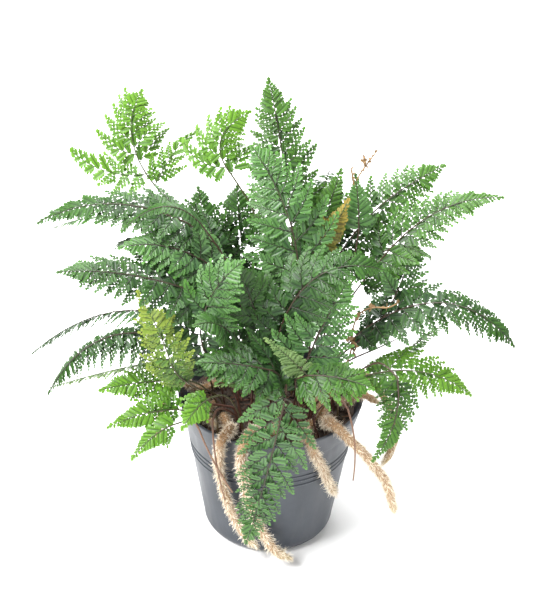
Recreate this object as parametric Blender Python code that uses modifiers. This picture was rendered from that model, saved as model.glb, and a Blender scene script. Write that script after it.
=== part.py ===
"""A potted rabbit's-foot fern (Davallia).

A ribbed plastic nursery pot holds compost.  Thick furry rhizomes creep over the compost and trail
over the rim, and thin stipes carry the feathery fronds.  Every sub-part is its own object.

Units are metres, +Z is up, and the origin is the centre of the pot's flat base.
"""

import math

import bmesh
import bpy
import numpy as np
from mathutils import Vector
from mathutils.bvhtree import BVHTree

# ---------------------------------------------------------------- driving dimensions
RIM_RADIUS = 0.075
POT_HEIGHT = 0.1275
BASE_RADIUS = 0.052
BASE_ROUNDING = 0.012
WALL = 0.0018
FLOOR = 0.0025
LIP = 0.0012
COLLAR_DEPTH = 0.0185
COLLAR_FLARE = 0.0046
BAND_DEPTH = 0.0160
BAND_STEP = 0.0008
RIDGE_COUNT = 3
RIDGE_PITCH = 0.0049
RIDGE_WIDTH = 0.0018
RIDGE_STEP = 0.0009
DRAIN_COUNT = 6
DRAIN_RADIUS = 0.004
DRAIN_RING = 0.028
POT_STEPS = 40

COMPOST_DEPTH = 0.013
COMPOST_DOME = 0.004
COMPOST_RINGS = 5
GAP = 0.0003

RHIZOME_BEVELS = 2
RHIZOME_STATIONS = 15
RHIZOME_LIFT = 0.0015
RHIZOME_TAPER = 0.12
RHIZOME_TIP = 0.55
RIM_CLEARANCE = 2.0
CLEARING_ROUNDS = 4

STEM_WIDTH = 0.0020
STEM_THICKNESS = 0.0018
BLADE_THICKNESS = 0.0007
STEM_TAPER = 0.45
STIPE_STATIONS = 7
RACHIS_STATIONS = 15
STIPE_RISE = 0.42
STIPE_LEAVE = 0.30
CURVE_STEPS = 30

STEM_SPACING = 0.0042
RIM_SPACING = 0.0040
RIM_STATIONS = 49
SPREAD_ROUNDS = 240
SPREAD_PUSH = 0.6
SETTLED = 0.00002

BLADE_CLEARANCE = 0.0017
PINNA_PITCH = 0.0175
PINNA_BASE = 0.0030
PINNA_DROOP = 0.14
PINNA_TAPER = 0.8
PINNA_BREADTH = 0.20
PINNA_SHOULDER = 0.42
PINNA_LEAN_FOOT = 62.0
PINNA_LEAN_TIP = 40.0
PINNA_SCALES = (1.0, 0.85, 0.70, 0.55, 0.40, 0.27)
PINNA_FIRST = 0.03
PINNA_SPAN = 0.90
PINNA_CROWDING = 1.25

# ---------------------------------------------------------------- layout
# Rhizomes: name, radius, then stops along the route.  A stop is the bearing in degrees (-90 is the
# front), how far the middle lies outside the pot's wall line in rhizome radii, and the height: lying
# on the compost, crossing over the rim, or a share of the pot's height.
RESTING = "resting"
CROSSING = "crossing"
RHIZOMES = [
    ("rhizome_front_left", 0.0052,
     [(-142, -5.0, RESTING), (-122, -2.8, RESTING), (-115, 0.0, CROSSING), (-118, 1.8, 0.93),
      (-121, 1.35, 0.76), (-119, 1.35, 0.56), (-114, 1.35, 0.37), (-105, 1.45, 0.21),
      (-97, 1.6, 0.13)]),
    ("rhizome_front_long", 0.0057,
     [(-78, -5.5, RESTING), (-93, -2.9, RESTING), (-102, 0.0, CROSSING), (-105, 1.85, 0.92),
      (-104, 1.4, 0.72), (-102, 1.4, 0.54), (-94, 1.55, 0.30), (-83, 2.3, 0.13), (-73, 3.0, 0.08)]),
    ("rhizome_front_right", 0.0050,
     [(-48, -5.0, RESTING), (-63, -2.8, RESTING), (-69, 0.0, CROSSING), (-65, 1.65, 0.95),
      (-57, 1.4, 0.79), (-49, 1.4, 0.62), (-41, 1.7, 0.48)]),
    ("rhizome_right_long", 0.0056,
     [(10, -6.5, RESTING), (-38, -3.2, RESTING), (-50, 0.2, CROSSING), (-47, 2.4, 1.02),
      (-41, 4.2, 0.91), (-35, 6.2, 0.76), (-31, 7.9, 0.62), (-28, 9.8, 0.38)]),
    ("rhizome_right_back", 0.0050,
     [(40, -6.0, RESTING), (22, -2.8, RESTING), (12, 0.0, CROSSING), (3, 3.2, 0.99), (-5, 6.4, 0.82),
      (-8, 6.9, 0.65), (-12, 6.0, 0.55)]),
    ("rhizome_right_rim", 0.0048,
     [(10, -5.6, RESTING), (-6, -3.0, RESTING), (-12, 0.0, CROSSING), (-16, 3.6, 1.06)]),
    ("rhizome_left_back", 0.0048,
     [(150, -6.0, RESTING), (172, -2.9, RESTING), (182, 0.0, CROSSING), (189, 2.6, 0.98),
      (193, 4.5, 0.84), (192, 5.4, 0.71)]),
    ("rhizome_inside_left", 0.0045,
     [(194, -6.0, RESTING), (203, -4.0, RESTING), (214, -3.1, RESTING), (225, -3.1, RESTING)]),
    ("rhizome_back", 0.0052,
     [(60, -6.0, RESTING), (80, -2.9, RESTING), (88, 0.2, CROSSING), (94, 2.0, 0.92),
      (99, 1.5, 0.70), (107, 1.5, 0.46)]),
]

# Fronds: name, where the stipe leaves the compost (x, y), where the blade begins, its middle and its
# tip (x, y, z), half width, the way its upper face looks, and the look of the leaf.  All are in rim
# radii from the centre of the rim plane.
FRONDS = [
    ("left_high", (-.30, .05), (-.85, -.15, 2.10), (-1.60, -.40, 2.45), (-2.30, -.65, 2.35),
     .34, (0, -.4, 1), "dark"),
    ("left_high_rear", (-.40, .30), (-.85, .45, 1.60), (-1.65, .35, 1.90), (-2.40, .25, 1.75),
     .28, (0, .35, 1), "blue"),
    ("left_curl", (-.12, -.22), (-.70, -.55, 2.30), (-1.05, -.75, 2.62), (-1.45, -.85, 2.40),
     .13, (-.3, -.4, 1), "dark"),
    ("left_middle", (-.34, -.26), (-.80, -.60, 1.60), (-1.45, -.90, 1.95), (-2.05, -1.15, 2.10),
     .38, (0, -.6, 1), "dark"),
    ("left_inner", (-.20, -.08), (-.70, -.35, 1.80), (-1.10, -.50, 2.05), (-1.50, -.65, 2.10),
     .32, (.1, -.7, 1), "blue"),
    ("left_droop_far", (-.50, .18), (-.95, .00, .90), (-1.80, .12, .85), (-2.65, .25, .20),
     .20, (-.3, .3, 1), "blue"),
    ("left_droop_near", (-.55, -.18), (-1.10, -.60, 1.05), (-1.75, -.80, 1.10), (-2.25, -.95, .55),
     .24, (-.4, -.5, 1), "dark"),
    ("left_droop_low", (-.62, .02), (-1.05, -.25, .55), (-1.75, -.15, .30), (-2.40, -.05, .00),
     .18, (-.2, .45, 1), "pale"),
    ("left_low", (-.62, -.34), (-.90, -.65, .55), (-1.32, -.82, .63), (-1.70, -1.00, .65),
     .25, (0, -.9, .7), "bright"),
    ("left_rim_out", (-.52, -.55), (-.90, -.95, .40), (-1.25, -1.12, .46), (-1.60, -1.25, .38),
     .22, (0, -1, .6), "bright"),
    ("left_rim_down", (-.44, -.66), (-.95, -1.15, .36), (-1.16, -1.28, .30), (-1.35, -1.42, .14),
     .16, (-.2, -1, .5), "bright"),
    ("left_yellow", (-.55, -.44), (-1.00, -.95, .95), (-1.12, -1.00, 1.38), (-1.30, -1.00, 1.80),
     .25, (-.1, -1, .5), "yellow"),
    ("left_rim_leaf", (-.30, -.72), (-.60, -1.10, .66), (-.73, -1.24, .62), (-.85, -1.38, .50),
     .18, (0, -1, .6), "bright"),
    ("rear_left_tall", (-.32, .38), (-.92, .28, 1.20), (-1.12, .34, 1.72), (-1.30, .45, 2.15),
     .40, (-.2, -.8, .7), "dark"),
    ("rear_left_middle", (-.16, .42), (-.56, .28, 1.15), (-.70, .34, 1.72), (-.80, .45, 2.20),
     .40, (0, -.8, .7), "dark"),
    ("rear_centre", (.00, .48), (-.26, .42, 1.10), (-.36, .48, 1.66), (-.40, .60, 2.15),
     .44, (0, -.8, .7), "dark"),
    ("young_left", (-.22, .56), (-1.25, .65, 2.10), (-1.50, .72, 2.62), (-1.40, .80, 3.12),
     .46, (.1, -1, .4), "bright"),
    ("young_centre", (-.06, .60), (-.45, .55, 2.30), (-.58, .60, 2.68), (-.30, .65, 2.98),
     .34, (0, -1, .4), "bright"),
    ("crown_top", (.10, .28), (.16, .38, 1.95), (.04, .50, 2.70), (-.10, .60, 3.38),
     .40, (0, -1, .4), "mid"),
    ("crown_front", (.16, -.06), (.26, -.40, 1.60), (.12, -.24, 2.30), (-.25, .00, 2.92),
     .52, (.1, -1, .6), "blue"),
    ("crown_right", (.26, .10), (.34, .02, 1.50), (.50, .12, 2.05), (.65, .25, 2.55),
     .28, (0, -1, .4), "mid"),
    ("crown_amber", (.32, -.04), (.46, -.15, 1.90), (.60, -.08, 2.10), (.72, .00, 2.32),
     .16, (0, -1, .6), "amber"),
    ("arch_right", (.12, -.38), (.12, -.74, 1.40), (.50, -.82, 1.98), (1.08, -.75, 1.98),
     .40, (.2, -.8, 1), "dark"),
    ("right_high_tall", (.40, .30), (.90, .25, 1.95), (1.25, .38, 2.25), (1.72, .55, 2.48),
     .34, (0, -.8, .8), "mid"),
    ("right_high_long", (.50, .10), (1.15, .00, 1.75), (1.65, -.08, 2.30), (2.25, -.15, 2.50),
     .32, (-.2, -.6, 1), "mid"),
    ("right_up_left", (.36, .16), (.85, .02, 1.95), (.84, .08, 2.22), (.80, .16, 2.52),
     .18, (.2, -1, .5), "blue"),
    ("right_wide", (.50, -.28), (1.10, -.40, 1.20), (1.80, -.60, 1.52), (2.42, -.82, 1.18),
     .42, (.1, -.35, 1), "dark"),
    ("right_upright", (.44, -.12), (1.20, -.30, 1.30), (1.32, -.18, 1.58), (1.42, -.04, 1.88),
     .32, (0, -1, .6), "blue"),
    ("right_low", (.60, -.42), (1.20, -.75, .80), (1.62, -.85, .84), (2.00, -.95, .68),
     .28, (0, -.7, .9), "bright"),
    ("right_hang", (.52, -.56), (1.25, -1.00, .90), (1.25, -1.22, .55), (1.05, -1.38, .15),
     .22, (.1, -1, .5), "mid"),
    ("right_edge", (.64, -.02), (1.30, .00, .45), (1.60, .20, .58), (1.88, .42, .66),
     .14, (.5, .5, .7), "mid"),
    ("right_inner", (.58, -.18), (1.00, -.62, .95), (1.20, -.64, 1.08), (1.42, -.62, 1.22),
     .28, (0, -.8, .8), "mid"),
    ("front_drooping", (.06, -.66), (.15, -1.15, .75), (-.02, -1.42, -.05), (-.22, -1.42, -.95),
     .46, (0, -1, .25), "blue"),
    ("front_edge_on", (.20, -.62), (.12, -1.00, .62), (-.20, -1.12, .82), (-.52, -1.20, .88),
     .16, (0, .25, 1), "pale"),
    ("centre_pale", (.30, -.56), (.35, -.92, .85), (.15, -1.00, 1.12), (-.05, -1.08, 1.36),
     .14, (-.6, .2, .8), "pale"),
    ("centre_left_up", (-.32, -.42), (-.72, -.70, 1.15), (-.60, -.80, 1.68), (-.30, -.86, 2.10),
     .38, (0, -.8, .8), "blue"),
    ("inner_left", (-.20, -.52), (-.26, -.66, .86), (-.48, -.92, 1.38), (-.75, -1.18, 1.56),
     .38, (0, -.6, 1), "dark"),
    ("inner_centre", (.00, -.28), (-.06, -.52, .92), (-.20, -.68, 1.50), (-.36, -.80, 2.02),
     .40, (0, -.8, .8), "dark"),
    ("inner_right", (.26, -.50), (.34, -.80, .90), (.52, -.92, 1.48), (.74, -.90, 1.98),
     .40, (0, -.8, .8), "blue"),
    ("low_left", (-.12, -.64), (.02, -.95, .90), (-.33, -1.18, 1.12), (-.70, -1.38, 1.26),
     .36, (0, -.5, 1), "dark"),
    ("low_right", (.38, -.58), (.36, -1.02, .90), (.66, -1.16, .98), (.98, -1.28, .95),
     .34, (0, -.6, 1), "mid"),
    ("back_high", (.22, .60), (.45, 1.00, 1.50), (.52, 1.35, 1.78), (.60, 1.75, 1.80),
     .34, (.1, .6, 1), "dark"),
    ("back_left", (-.42, .54), (-1.00, .95, 1.00), (-1.40, 1.30, 1.12), (-1.80, 1.62, .85),
     .36, (-.3, .5, 1), "dark"),
    ("back_centre", (.04, .66), (.05, 1.15, .95), (.08, 1.68, 1.08), (.12, 2.20, .70),
     .38, (0, .5, 1), "mid"),
    ("back_right", (.50, .50), (1.00, 1.00, 1.00), (1.40, 1.32, 1.10), (1.78, 1.60, .80),
     .36, (.3, .5, 1), "mid"),
]

# Bare stipes that have shed their leaf: name, foot (x, y), shoulder, middle and end (x, y, z).
BARE_STIPES = [
    ("bare_stipe_front", (-.34, -.56), (-.58, -1.06, .34), (-.54, -1.24, .00), (-.44, -1.34, -.44)),
    ("bare_stipe_left", (-.44, -.44), (-.76, -.98, .32), (-.60, -1.26, .08), (-.36, -1.42, -.28)),
    ("bare_stipe_right", (.46, -.44), (.78, -.94, .46), (.86, -1.16, .20), (.86, -1.30, -.18)),
]

# Looks: base colour, roughness
LEAF_LOOKS = {
    "dark": ((0.035, 0.115, 0.035), 0.42),
    "mid": ((0.060, 0.175, 0.045), 0.42),
    "blue": ((0.095, 0.205, 0.130), 0.38),
    "bright": ((0.150, 0.360, 0.060), 0.45),
    "yellow": ((0.380, 0.440, 0.080), 0.50),
    "amber": ((0.450, 0.240, 0.060), 0.55),
    "pale": ((0.260, 0.340, 0.210), 0.50),
}
POT_LOOK = ((0.035, 0.042, 0.050), 0.45)
COMPOST_LOOK = ((0.035, 0.022, 0.014), 0.95)
RHIZOME_LOOK = ((0.300, 0.170, 0.080), 0.90)
STIPE_LOOK = ((0.110, 0.045, 0.030), 0.50)

UP = np.array([0.0, 0.0, 1.0])
OUTWARD_FACE = np.array([0.0, -1.0, 0.0])


# ---------------------------------------------------------------- small helpers
def unit(vector):
    """The vector at length one."""
    return vector / np.linalg.norm(vector)


def layout_point(place):
    """A place given in rim radii from the centre of the rim plane, in metres."""
    return UP * POT_HEIGHT + RIM_RADIUS * np.array(place)


def foot_point(place):
    """Where a stipe meets the compost, from its place in rim radii."""
    x, y = place[0] * RIM_RADIUS, place[1] * RIM_RADIUS
    return np.array([x, y, compost_height(math.hypot(x, y)) + GAP + STEM_WIDTH / 2])


def make_material(name, look):
    """A Principled material with the look's colour and roughness."""
    colour, roughness = look
    material = bpy.data.materials.new(name)
    material.use_nodes = True
    shader = material.node_tree.nodes["Principled BSDF"]
    shader.inputs["Base Color"].default_value = (*colour, 1.0)
    shader.inputs["Roughness"].default_value = roughness
    shader.inputs["Metallic"].default_value = 0.0
    material.diffuse_color = (*colour, 1.0)
    return material


def add_object(name, data, look, collection):
    """Put new geometry in the collection, with its own material."""
    piece = bpy.data.objects.new(name, data)
    collection.objects.link(piece)
    data.materials.append(make_material(name, look))
    return piece


def turned(name, outline, steps, look, collection):
    """A solid of revolution from an outline that starts and ends on the axis."""
    mesh = bpy.data.meshes.new(name)
    edges = [(i, i + 1) for i in range(len(outline) - 1)]
    mesh.from_pydata([(radius, 0.0, height) for radius, height in outline], edges, [])
    piece = add_object(name, mesh, look, collection)
    screw = piece.modifiers.new("Turn", "SCREW")
    screw.steps = steps
    screw.render_steps = steps
    screw.use_merge_vertices = True
    screw.merge_threshold = 0.00002
    screw.use_smooth_shade = True
    return piece


# ---------------------------------------------------------------- pot and compost
def wall_radius(height):
    """The outer radius of the plain tapered wall, which the collar, band and ridges stand out from."""
    neck = RIM_RADIUS - COLLAR_FLARE - BAND_STEP
    return BASE_RADIUS + (neck - BASE_RADIUS) * height / (POT_HEIGHT - COLLAR_DEPTH)


def envelope_radius(height):
    """The outer radius with the collar, the band and the ridges covered."""
    return min(RIM_RADIUS, wall_radius(height) + RIDGE_STEP)


def ridge(height):
    """The outline of one thin ridge round the wall, from its top edge to its lower edge."""
    half = RIDGE_WIDTH / 2
    return [(wall_radius(height + half), height + half),
            (wall_radius(height) + RIDGE_STEP, height + half * 0.4),
            (wall_radius(height) + RIDGE_STEP, height - half * 0.4),
            (wall_radius(height - half), height - half)]


def pot_outline():
    """Half section of the pot: up its inside, over the lip, down the outside and under the base."""
    collar = POT_HEIGHT - COLLAR_DEPTH
    band = collar - BAND_DEPTH
    inner_corner = FLOOR + BASE_ROUNDING
    inside = [(0.0, FLOOR), (wall_radius(0) - BASE_ROUNDING, FLOOR),
              (wall_radius(inner_corner) - WALL, inner_corner),
              (wall_radius(collar) - WALL, collar),
              (RIM_RADIUS - 2 * LIP, POT_HEIGHT - LIP)]
    lip = [(RIM_RADIUS - 1.5 * LIP, POT_HEIGHT), (RIM_RADIUS - LIP / 2, POT_HEIGHT),
           (RIM_RADIUS, POT_HEIGHT - LIP / 2)]
    outside = [(RIM_RADIUS - COLLAR_FLARE, collar), (wall_radius(band) + BAND_STEP, band + BAND_STEP),
               (wall_radius(band - BAND_STEP), band - BAND_STEP)]
    for step in range(RIDGE_COUNT):
        outside += ridge(band - RIDGE_PITCH * (step + 0.9))
    centre = wall_radius(BASE_ROUNDING) - BASE_ROUNDING
    rounding = []
    for turn in np.linspace(0.0, math.pi / 2, 5):
        rounding.append((centre + BASE_ROUNDING * math.cos(turn), BASE_ROUNDING * (1 - math.sin(turn))))
    return inside + lip + outside + rounding + [(0.0, 0.0)]


def make_pot(collection, cutters):
    """The nursery pot with its ring of drainage holes."""
    pot = turned("pot", pot_outline(), POT_STEPS, POT_LOOK, collection)
    bits = bmesh.new()
    for turn in np.linspace(0.0, math.tau, DRAIN_COUNT, endpoint=False):
        drill = bmesh.ops.create_cone(bits, cap_ends=True, segments=12, radius1=DRAIN_RADIUS,
                                      radius2=DRAIN_RADIUS, depth=4 * FLOOR)
        place = Vector((DRAIN_RING * math.cos(turn), DRAIN_RING * math.sin(turn), 0.0))
        bmesh.ops.translate(bits, verts=drill["verts"], vec=place)
    mesh = bpy.data.meshes.new("drain_cutter")
    bits.to_mesh(mesh)
    bits.free()
    cutter = bpy.data.objects.new("drain_cutter", mesh)
    cutters.objects.link(cutter)
    cutter.hide_render = True
    cutter.display_type = "WIRE"
    cut = pot.modifiers.new("Drainage", "BOOLEAN")
    cut.operation = "DIFFERENCE"
    cut.object = cutter


def compost_height(radius):
    """The compost's surface: a low dome that falls to the pot's side."""
    return POT_HEIGHT - COMPOST_DEPTH + COMPOST_DOME * math.cos(min(radius / RIM_RADIUS, 1.0) * math.pi / 2)


def make_compost(collection):
    """The compost fills the pot from its floor to a low dome under the rim."""
    edge_height = POT_HEIGHT - COMPOST_DEPTH
    edge = wall_radius(edge_height) - WALL - 2 * GAP
    inner_corner = FLOOR + BASE_ROUNDING
    corner_gap = BASE_ROUNDING * 0.1
    outline = [(share * edge, compost_height(share * edge))
               for share in np.linspace(0.0, 1.0, COMPOST_RINGS + 1)]
    outline += [(wall_radius(inner_corner) - WALL - 2 * GAP, inner_corner),
                (wall_radius(0) - BASE_ROUNDING - corner_gap, FLOOR + GAP), (0.0, FLOOR + GAP)]
    turned("compost", outline, POT_STEPS, COMPOST_LOOK, collection)


# ---------------------------------------------------------------- rhizomes
def smooth_path(stops, count):
    """Evenly spaced points on a smooth curve through the stops (centripetal Catmull-Rom)."""
    stops = np.asarray(stops, float)
    padded = np.vstack([2 * stops[0] - stops[1], stops, 2 * stops[-1] - stops[-2]])
    fine = []
    for before, start, end, after in zip(padded, padded[1:], padded[2:], padded[3:]):
        for step in np.linspace(0.0, 1.0, 12, endpoint=False):
            fine.append(0.5 * (2 * start + (end - before) * step
                               + (2 * before - 5 * start + 4 * end - after) * step ** 2
                               + (3 * start - before - 3 * end + after) * step ** 3))
    fine.append(stops[-1])
    return resample(np.array(fine), count)


def resample(points, count):
    """The same path with evenly spaced points."""
    run = np.concatenate([[0.0], np.cumsum(np.linalg.norm(np.diff(points, axis=0), axis=1))])
    wanted = np.linspace(0.0, run[-1], count)
    return np.stack([np.interp(wanted, run, points[:, axis]) for axis in range(3)], axis=1)


def rhizome_path(radius, stops):
    """A rhizome's middle line, from its stops round the pot's wall."""
    points = []
    for bearing, outside, share in stops:
        level = 1.0 if share in (RESTING, CROSSING) else min(share, 1.0)
        reach = envelope_radius(level * POT_HEIGHT) + outside * radius
        if share == RESTING:
            height = compost_height(reach) + radius + RHIZOME_LIFT
        elif share == CROSSING:
            height = POT_HEIGHT + radius * RIM_CLEARANCE
        else:
            height = share * POT_HEIGHT
        turn = math.radians(bearing)
        points.append((reach * math.cos(turn), reach * math.sin(turn), height))
    return clear_of_pot(smooth_path(points, RHIZOME_STATIONS), radius)


def pot_shortfall(point, room):
    """How much farther out a point beside the pot must lie to be this far from its lip and wall."""
    reach = math.hypot(point[0], point[1])
    above = max(point[2] - POT_HEIGHT, 0.0)
    below = max(POT_HEIGHT - point[2], 0.0)
    if above >= room or reach < wall_radius(min(point[2], POT_HEIGHT)):
        return 0.0
    outer = envelope_radius(POT_HEIGHT - below)
    if below < COLLAR_DEPTH:
        outer = max(outer, RIM_RADIUS - COLLAR_FLARE * below / COLLAR_DEPTH)
    return max(outer + math.sqrt(room ** 2 - above ** 2) - reach, 0.0)


def clear_of_pot(path, radius):
    """The same path, moved out beside the pot until a tube round it misses the lip and the wall."""
    path = path.copy()
    room = radius + RHIZOME_LIFT
    for _ in range(CLEARING_ROUNDS):
        middles = (path[:-1] + path[1:]) / 2
        short = np.array([pot_shortfall(point, room) for point in path])
        between = np.array([pot_shortfall(point, room) for point in middles])
        short[:-1] = np.maximum(short[:-1], between)
        short[1:] = np.maximum(short[1:], between)
        reach = np.hypot(path[:, 0], path[:, 1])
        outside = reach > RIM_RADIUS - COLLAR_FLARE
        path[outside, :2] *= (1 + short / reach)[outside, None]
    return path


def make_rhizome(name, radius, path, collection):
    """A tapering tube with closed ends."""
    curve = bpy.data.curves.new(name, "CURVE")
    curve.dimensions = "3D"
    curve.bevel_depth = radius
    curve.bevel_resolution = RHIZOME_BEVELS
    curve.use_fill_caps = True
    spline = curve.splines.new("POLY")
    spline.points.add(len(path) - 1)
    for index, point in enumerate(path):
        share = index / (len(path) - 1)
        spline.points[index].co = (*point, 1.0)
        spline.points[index].radius = RHIZOME_TIP if index == len(path) - 1 else 1.0 - RHIZOME_TAPER * share
    add_object(name, curve, RHIZOME_LOOK, collection)


# ---------------------------------------------------------------- where the stems run
def frond_path(foot, base, middle, tip):
    """A frond's line: the stipe rises from the compost and runs on into the arching rachis."""
    bend = 2 * middle - (base + tip) / 2
    leave = unit(bend - base)
    rise = np.linalg.norm(base - foot)
    start_handle = foot + UP * rise * STIPE_RISE
    end_handle = base - leave * rise * STIPE_LEAVE
    stipe = []
    for step in np.linspace(0.0, 1.0, CURVE_STEPS):
        rest = 1 - step
        stipe.append(foot * rest ** 3 + 3 * start_handle * rest ** 2 * step
                     + 3 * end_handle * rest * step ** 2 + base * step ** 3)
    rachis = []
    for step in np.linspace(0.0, 1.0, CURVE_STEPS):
        rest = 1 - step
        rachis.append(base * rest ** 2 + 2 * bend * rest * step + tip * step ** 2)
    return np.vstack([resample(np.array(stipe), STIPE_STATIONS)[:-1],
                      resample(np.array(rachis), RACHIS_STATIONS)])


def closest_between(first, first_run, second, second_run):
    """Shares along two sets of segments where each pair comes nearest."""
    offset = first - second
    a = np.einsum("ij,ij->i", first_run, first_run)
    b = np.einsum("ij,ij->i", first_run, second_run)
    c = np.einsum("ij,ij->i", second_run, second_run)
    d = np.einsum("ij,ij->i", first_run, offset)
    e = np.einsum("ij,ij->i", second_run, offset)
    spread = np.maximum(a * c - b * b, 1e-16)
    along_first = np.clip((b * e - c * d) / spread, 0.0, 1.0)
    along_second = np.clip((b * along_first + e) / c, 0.0, 1.0)
    along_first = np.clip((b * along_second - d) / a, 0.0, 1.0)
    return along_first, along_second


def above_compost(points):
    """The points, with none in the pot lower than a stem can lie on the compost."""
    reach = np.hypot(points[:, 0], points[:, 1])
    inside = (reach < RIM_RADIUS - WALL) & (points[:, 2] < POT_HEIGHT)
    least = np.array([foot_point(point / RIM_RADIUS)[2] for point in points])
    return np.column_stack([points[:, :2], np.where(inside, np.maximum(points[:, 2], least), points[:, 2])])


def spread_stems(stems, fixed):
    """Bend the stems gently past each other and past the fixed paths, which are (points, room)."""
    paths = [stem.copy() for stem in stems]
    lines = [(path, STEM_SPACING / 2) for path in paths] + fixed
    starts = np.cumsum([0] + [len(line) for line, _ in lines])
    owner = np.concatenate([[index] * (len(line) - 1) for index, (line, _) in enumerate(lines)])
    first_point = np.concatenate([np.arange(len(line) - 1) + start
                                  for (line, _), start in zip(lines, starts)])
    room = np.concatenate([[space] * (len(line) - 1) for line, space in lines])
    points = np.vstack([line for line, _ in lines])
    for _ in range(SPREAD_ROUNDS):
        begin = points[first_point]
        run = points[first_point + 1] - begin
        middle = begin + run / 2
        reach = np.linalg.norm(run, axis=1) / 2 + room
        apart = np.linalg.norm(middle[:, None] - middle[None], axis=2)
        near = (apart < reach[:, None] + reach[None]) & (owner[:, None] < owner[None])
        one, two = np.nonzero(near & (owner[:, None] < len(paths)))
        share_one, share_two = closest_between(begin[one], run[one], begin[two], run[two])
        between = begin[one] + run[one] * share_one[:, None] - begin[two] - run[two] * share_two[:, None]
        distance = np.maximum(np.linalg.norm(between, axis=1), 1e-6)
        short = room[one] + room[two] - distance
        tight = short > SETTLED
        if not tight.any():
            break
        push = between / distance[:, None] * np.maximum(short, 0.0)[:, None] * SPREAD_PUSH
        move = np.zeros_like(points)
        for rows, shares, sign in ((one, share_one, 1.0), (two, share_two, -1.0)):
            np.add.at(move, first_point[rows], sign * push * (1 - shares)[:, None])
            np.add.at(move, first_point[rows] + 1, sign * push * shares[:, None])
        move = np.clip(move, -STEM_SPACING / 2, STEM_SPACING / 2)
        for index, path in enumerate(paths):
            span = slice(starts[index], starts[index + 1])
            part = move[span]
            eased = part.copy()
            eased[1:-1] = (part[:-2] + 2 * part[1:-1] + part[2:]) / 3
            eased[:, 2] *= np.minimum(np.arange(len(part)), 1)
            points[span] = above_compost(points[span] + eased)
    return [points[starts[index]:starts[index + 1]] for index in range(len(paths))]


# ---------------------------------------------------------------- fronds
def stem_frames(path, face, stipe_count):
    """Sideways and upward directions at each station; the upward one turns to the blade's face."""
    along = np.gradient(path, axis=0)
    sideways, upward = [], []
    for index, run in enumerate(along):
        share = min(index / stipe_count, 1.0)
        look = (1 - share) * OUTWARD_FACE + share * unit(face)
        run = unit(run)
        up = unit(look - run * (look @ run))
        upward.append(up)
        sideways.append(np.cross(run, up))
    return np.array(sideways), np.array(upward)


def pinna_places(length):
    """Shares of the rachis where pinnae leave it, closer together towards the tip."""
    count = max(4, round(length / PINNA_PITCH))
    return [PINNA_FIRST + PINNA_SPAN * (1 - (1 - step / count) ** PINNA_CROWDING) for step in range(count)]


def frond_plan(path, face, half_width):
    """The stations of a frond's stem and the outline of each pinna, before neighbours are minded."""
    stipe_part = path[:STIPE_STATIONS]
    rachis = path[STIPE_STATIONS - 1:]
    length = np.linalg.norm(np.diff(rachis, axis=0), axis=1).sum()
    sideways, upward = stem_frames(path, np.array(face, float), STIPE_STATIONS - 1)
    share_of = np.linspace(0.0, 1.0, len(rachis))

    def at(share, table):
        return np.array([np.interp(share, share_of, table[STIPE_STATIONS - 1:, axis]) for axis in range(3)])

    base_share = min(PINNA_BASE / length, 0.06)
    stations = [(point, side) for point, side in zip(stipe_part[:-1], sideways)]
    pinnae = []
    for place in pinna_places(length):
        for share in (place, place + base_share):
            stations.append((at(share, path), unit(at(share, sideways))))
        width = half_width * (1 - place) ** PINNA_TAPER
        ahead = unit(at(min(place + 0.02, 1.0), path) - at(place, path))
        lean = math.radians(PINNA_LEAN_FOOT + (PINNA_LEAN_TIP - PINNA_LEAN_FOOT) * place)
        for hand in (-1, 1):
            side = hand * unit(at(place, sideways))
            out = side * math.sin(lean) + ahead * math.cos(lean)
            pinnae.append((len(stations) - 2, hand, width / math.sin(lean), out, ahead,
                           unit(at(place, upward))))
    stations.append((path[-1], sideways[-1]))
    return stations, pinnae


def stem_edges(stations):
    """The left and right edge points of the stem's strip, narrowing to the tip."""
    last = len(stations) - 1
    edges = []
    for index, (point, side) in enumerate(stations):
        width = STEM_WIDTH / 2 * (1.0 - STEM_TAPER * index / last)
        edges.append((point - side * width, point + side * width))
    return edges


def pinna_outline(edges, plan, scale):
    """A pinna's corners: two on the stem, two at its widest and its tip, drooping outwards."""
    station, hand, length, out, ahead, up = plan
    column = 0 if hand < 0 else 1
    near, far = edges[station][column], edges[station + 1][column]
    reach = length * scale
    breadth = min(PINNA_BREADTH * reach, PINNA_PITCH * 0.40)
    shoulder = near + out * reach * PINNA_SHOULDER - up * reach * PINNA_DROOP * 0.25
    return [near, shoulder - ahead * breadth * 0.35, near + out * reach - up * reach * PINNA_DROOP,
            shoulder + ahead * breadth, far]


def padded_blade(outline, up):
    """The pinna with its clearance added all round, for testing against its neighbours."""
    outline = np.array(outline)
    middle = outline.mean(axis=0)
    spread = outline - middle
    away = spread / np.linalg.norm(spread, axis=1)[:, None]
    grown = outline + away * BLADE_CLEARANCE
    grown[0] = outline[0]
    grown[-1] = outline[-1]
    layers = np.vstack([grown + up * BLADE_CLEARANCE, grown - up * BLADE_CLEARANCE])
    count = len(outline)
    faces = [list(range(count)), list(range(2 * count - 1, count - 1, -1))]
    faces += [[i, (i + 1) % count, count + (i + 1) % count, count + i] for i in range(count)]
    return BVHTree.FromPolygons([Vector(point) for point in layers], faces)


class Neighbours:
    """The surfaces that are already in place, kept apart by owner."""

    def __init__(self):
        self.points = {}
        self.faces = {}

    def add(self, owner, points, faces):
        """Add a surface under its owner's name."""
        held = self.points.setdefault(owner, [])
        start = len(held)
        held.extend(points)
        self.faces.setdefault(owner, []).extend([[start + i for i in face] for face in faces])

    def tree(self, without):
        """All surfaces but one owner's, ready for overlap tests."""
        points, faces = [], []
        for owner in self.points:
            if owner != without:
                start = len(points)
                points.extend(self.points[owner])
                faces.extend([[start + i for i in face] for face in self.faces[owner]])
        return BVHTree.FromPolygons([Vector(point) for point in points], faces)


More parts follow.
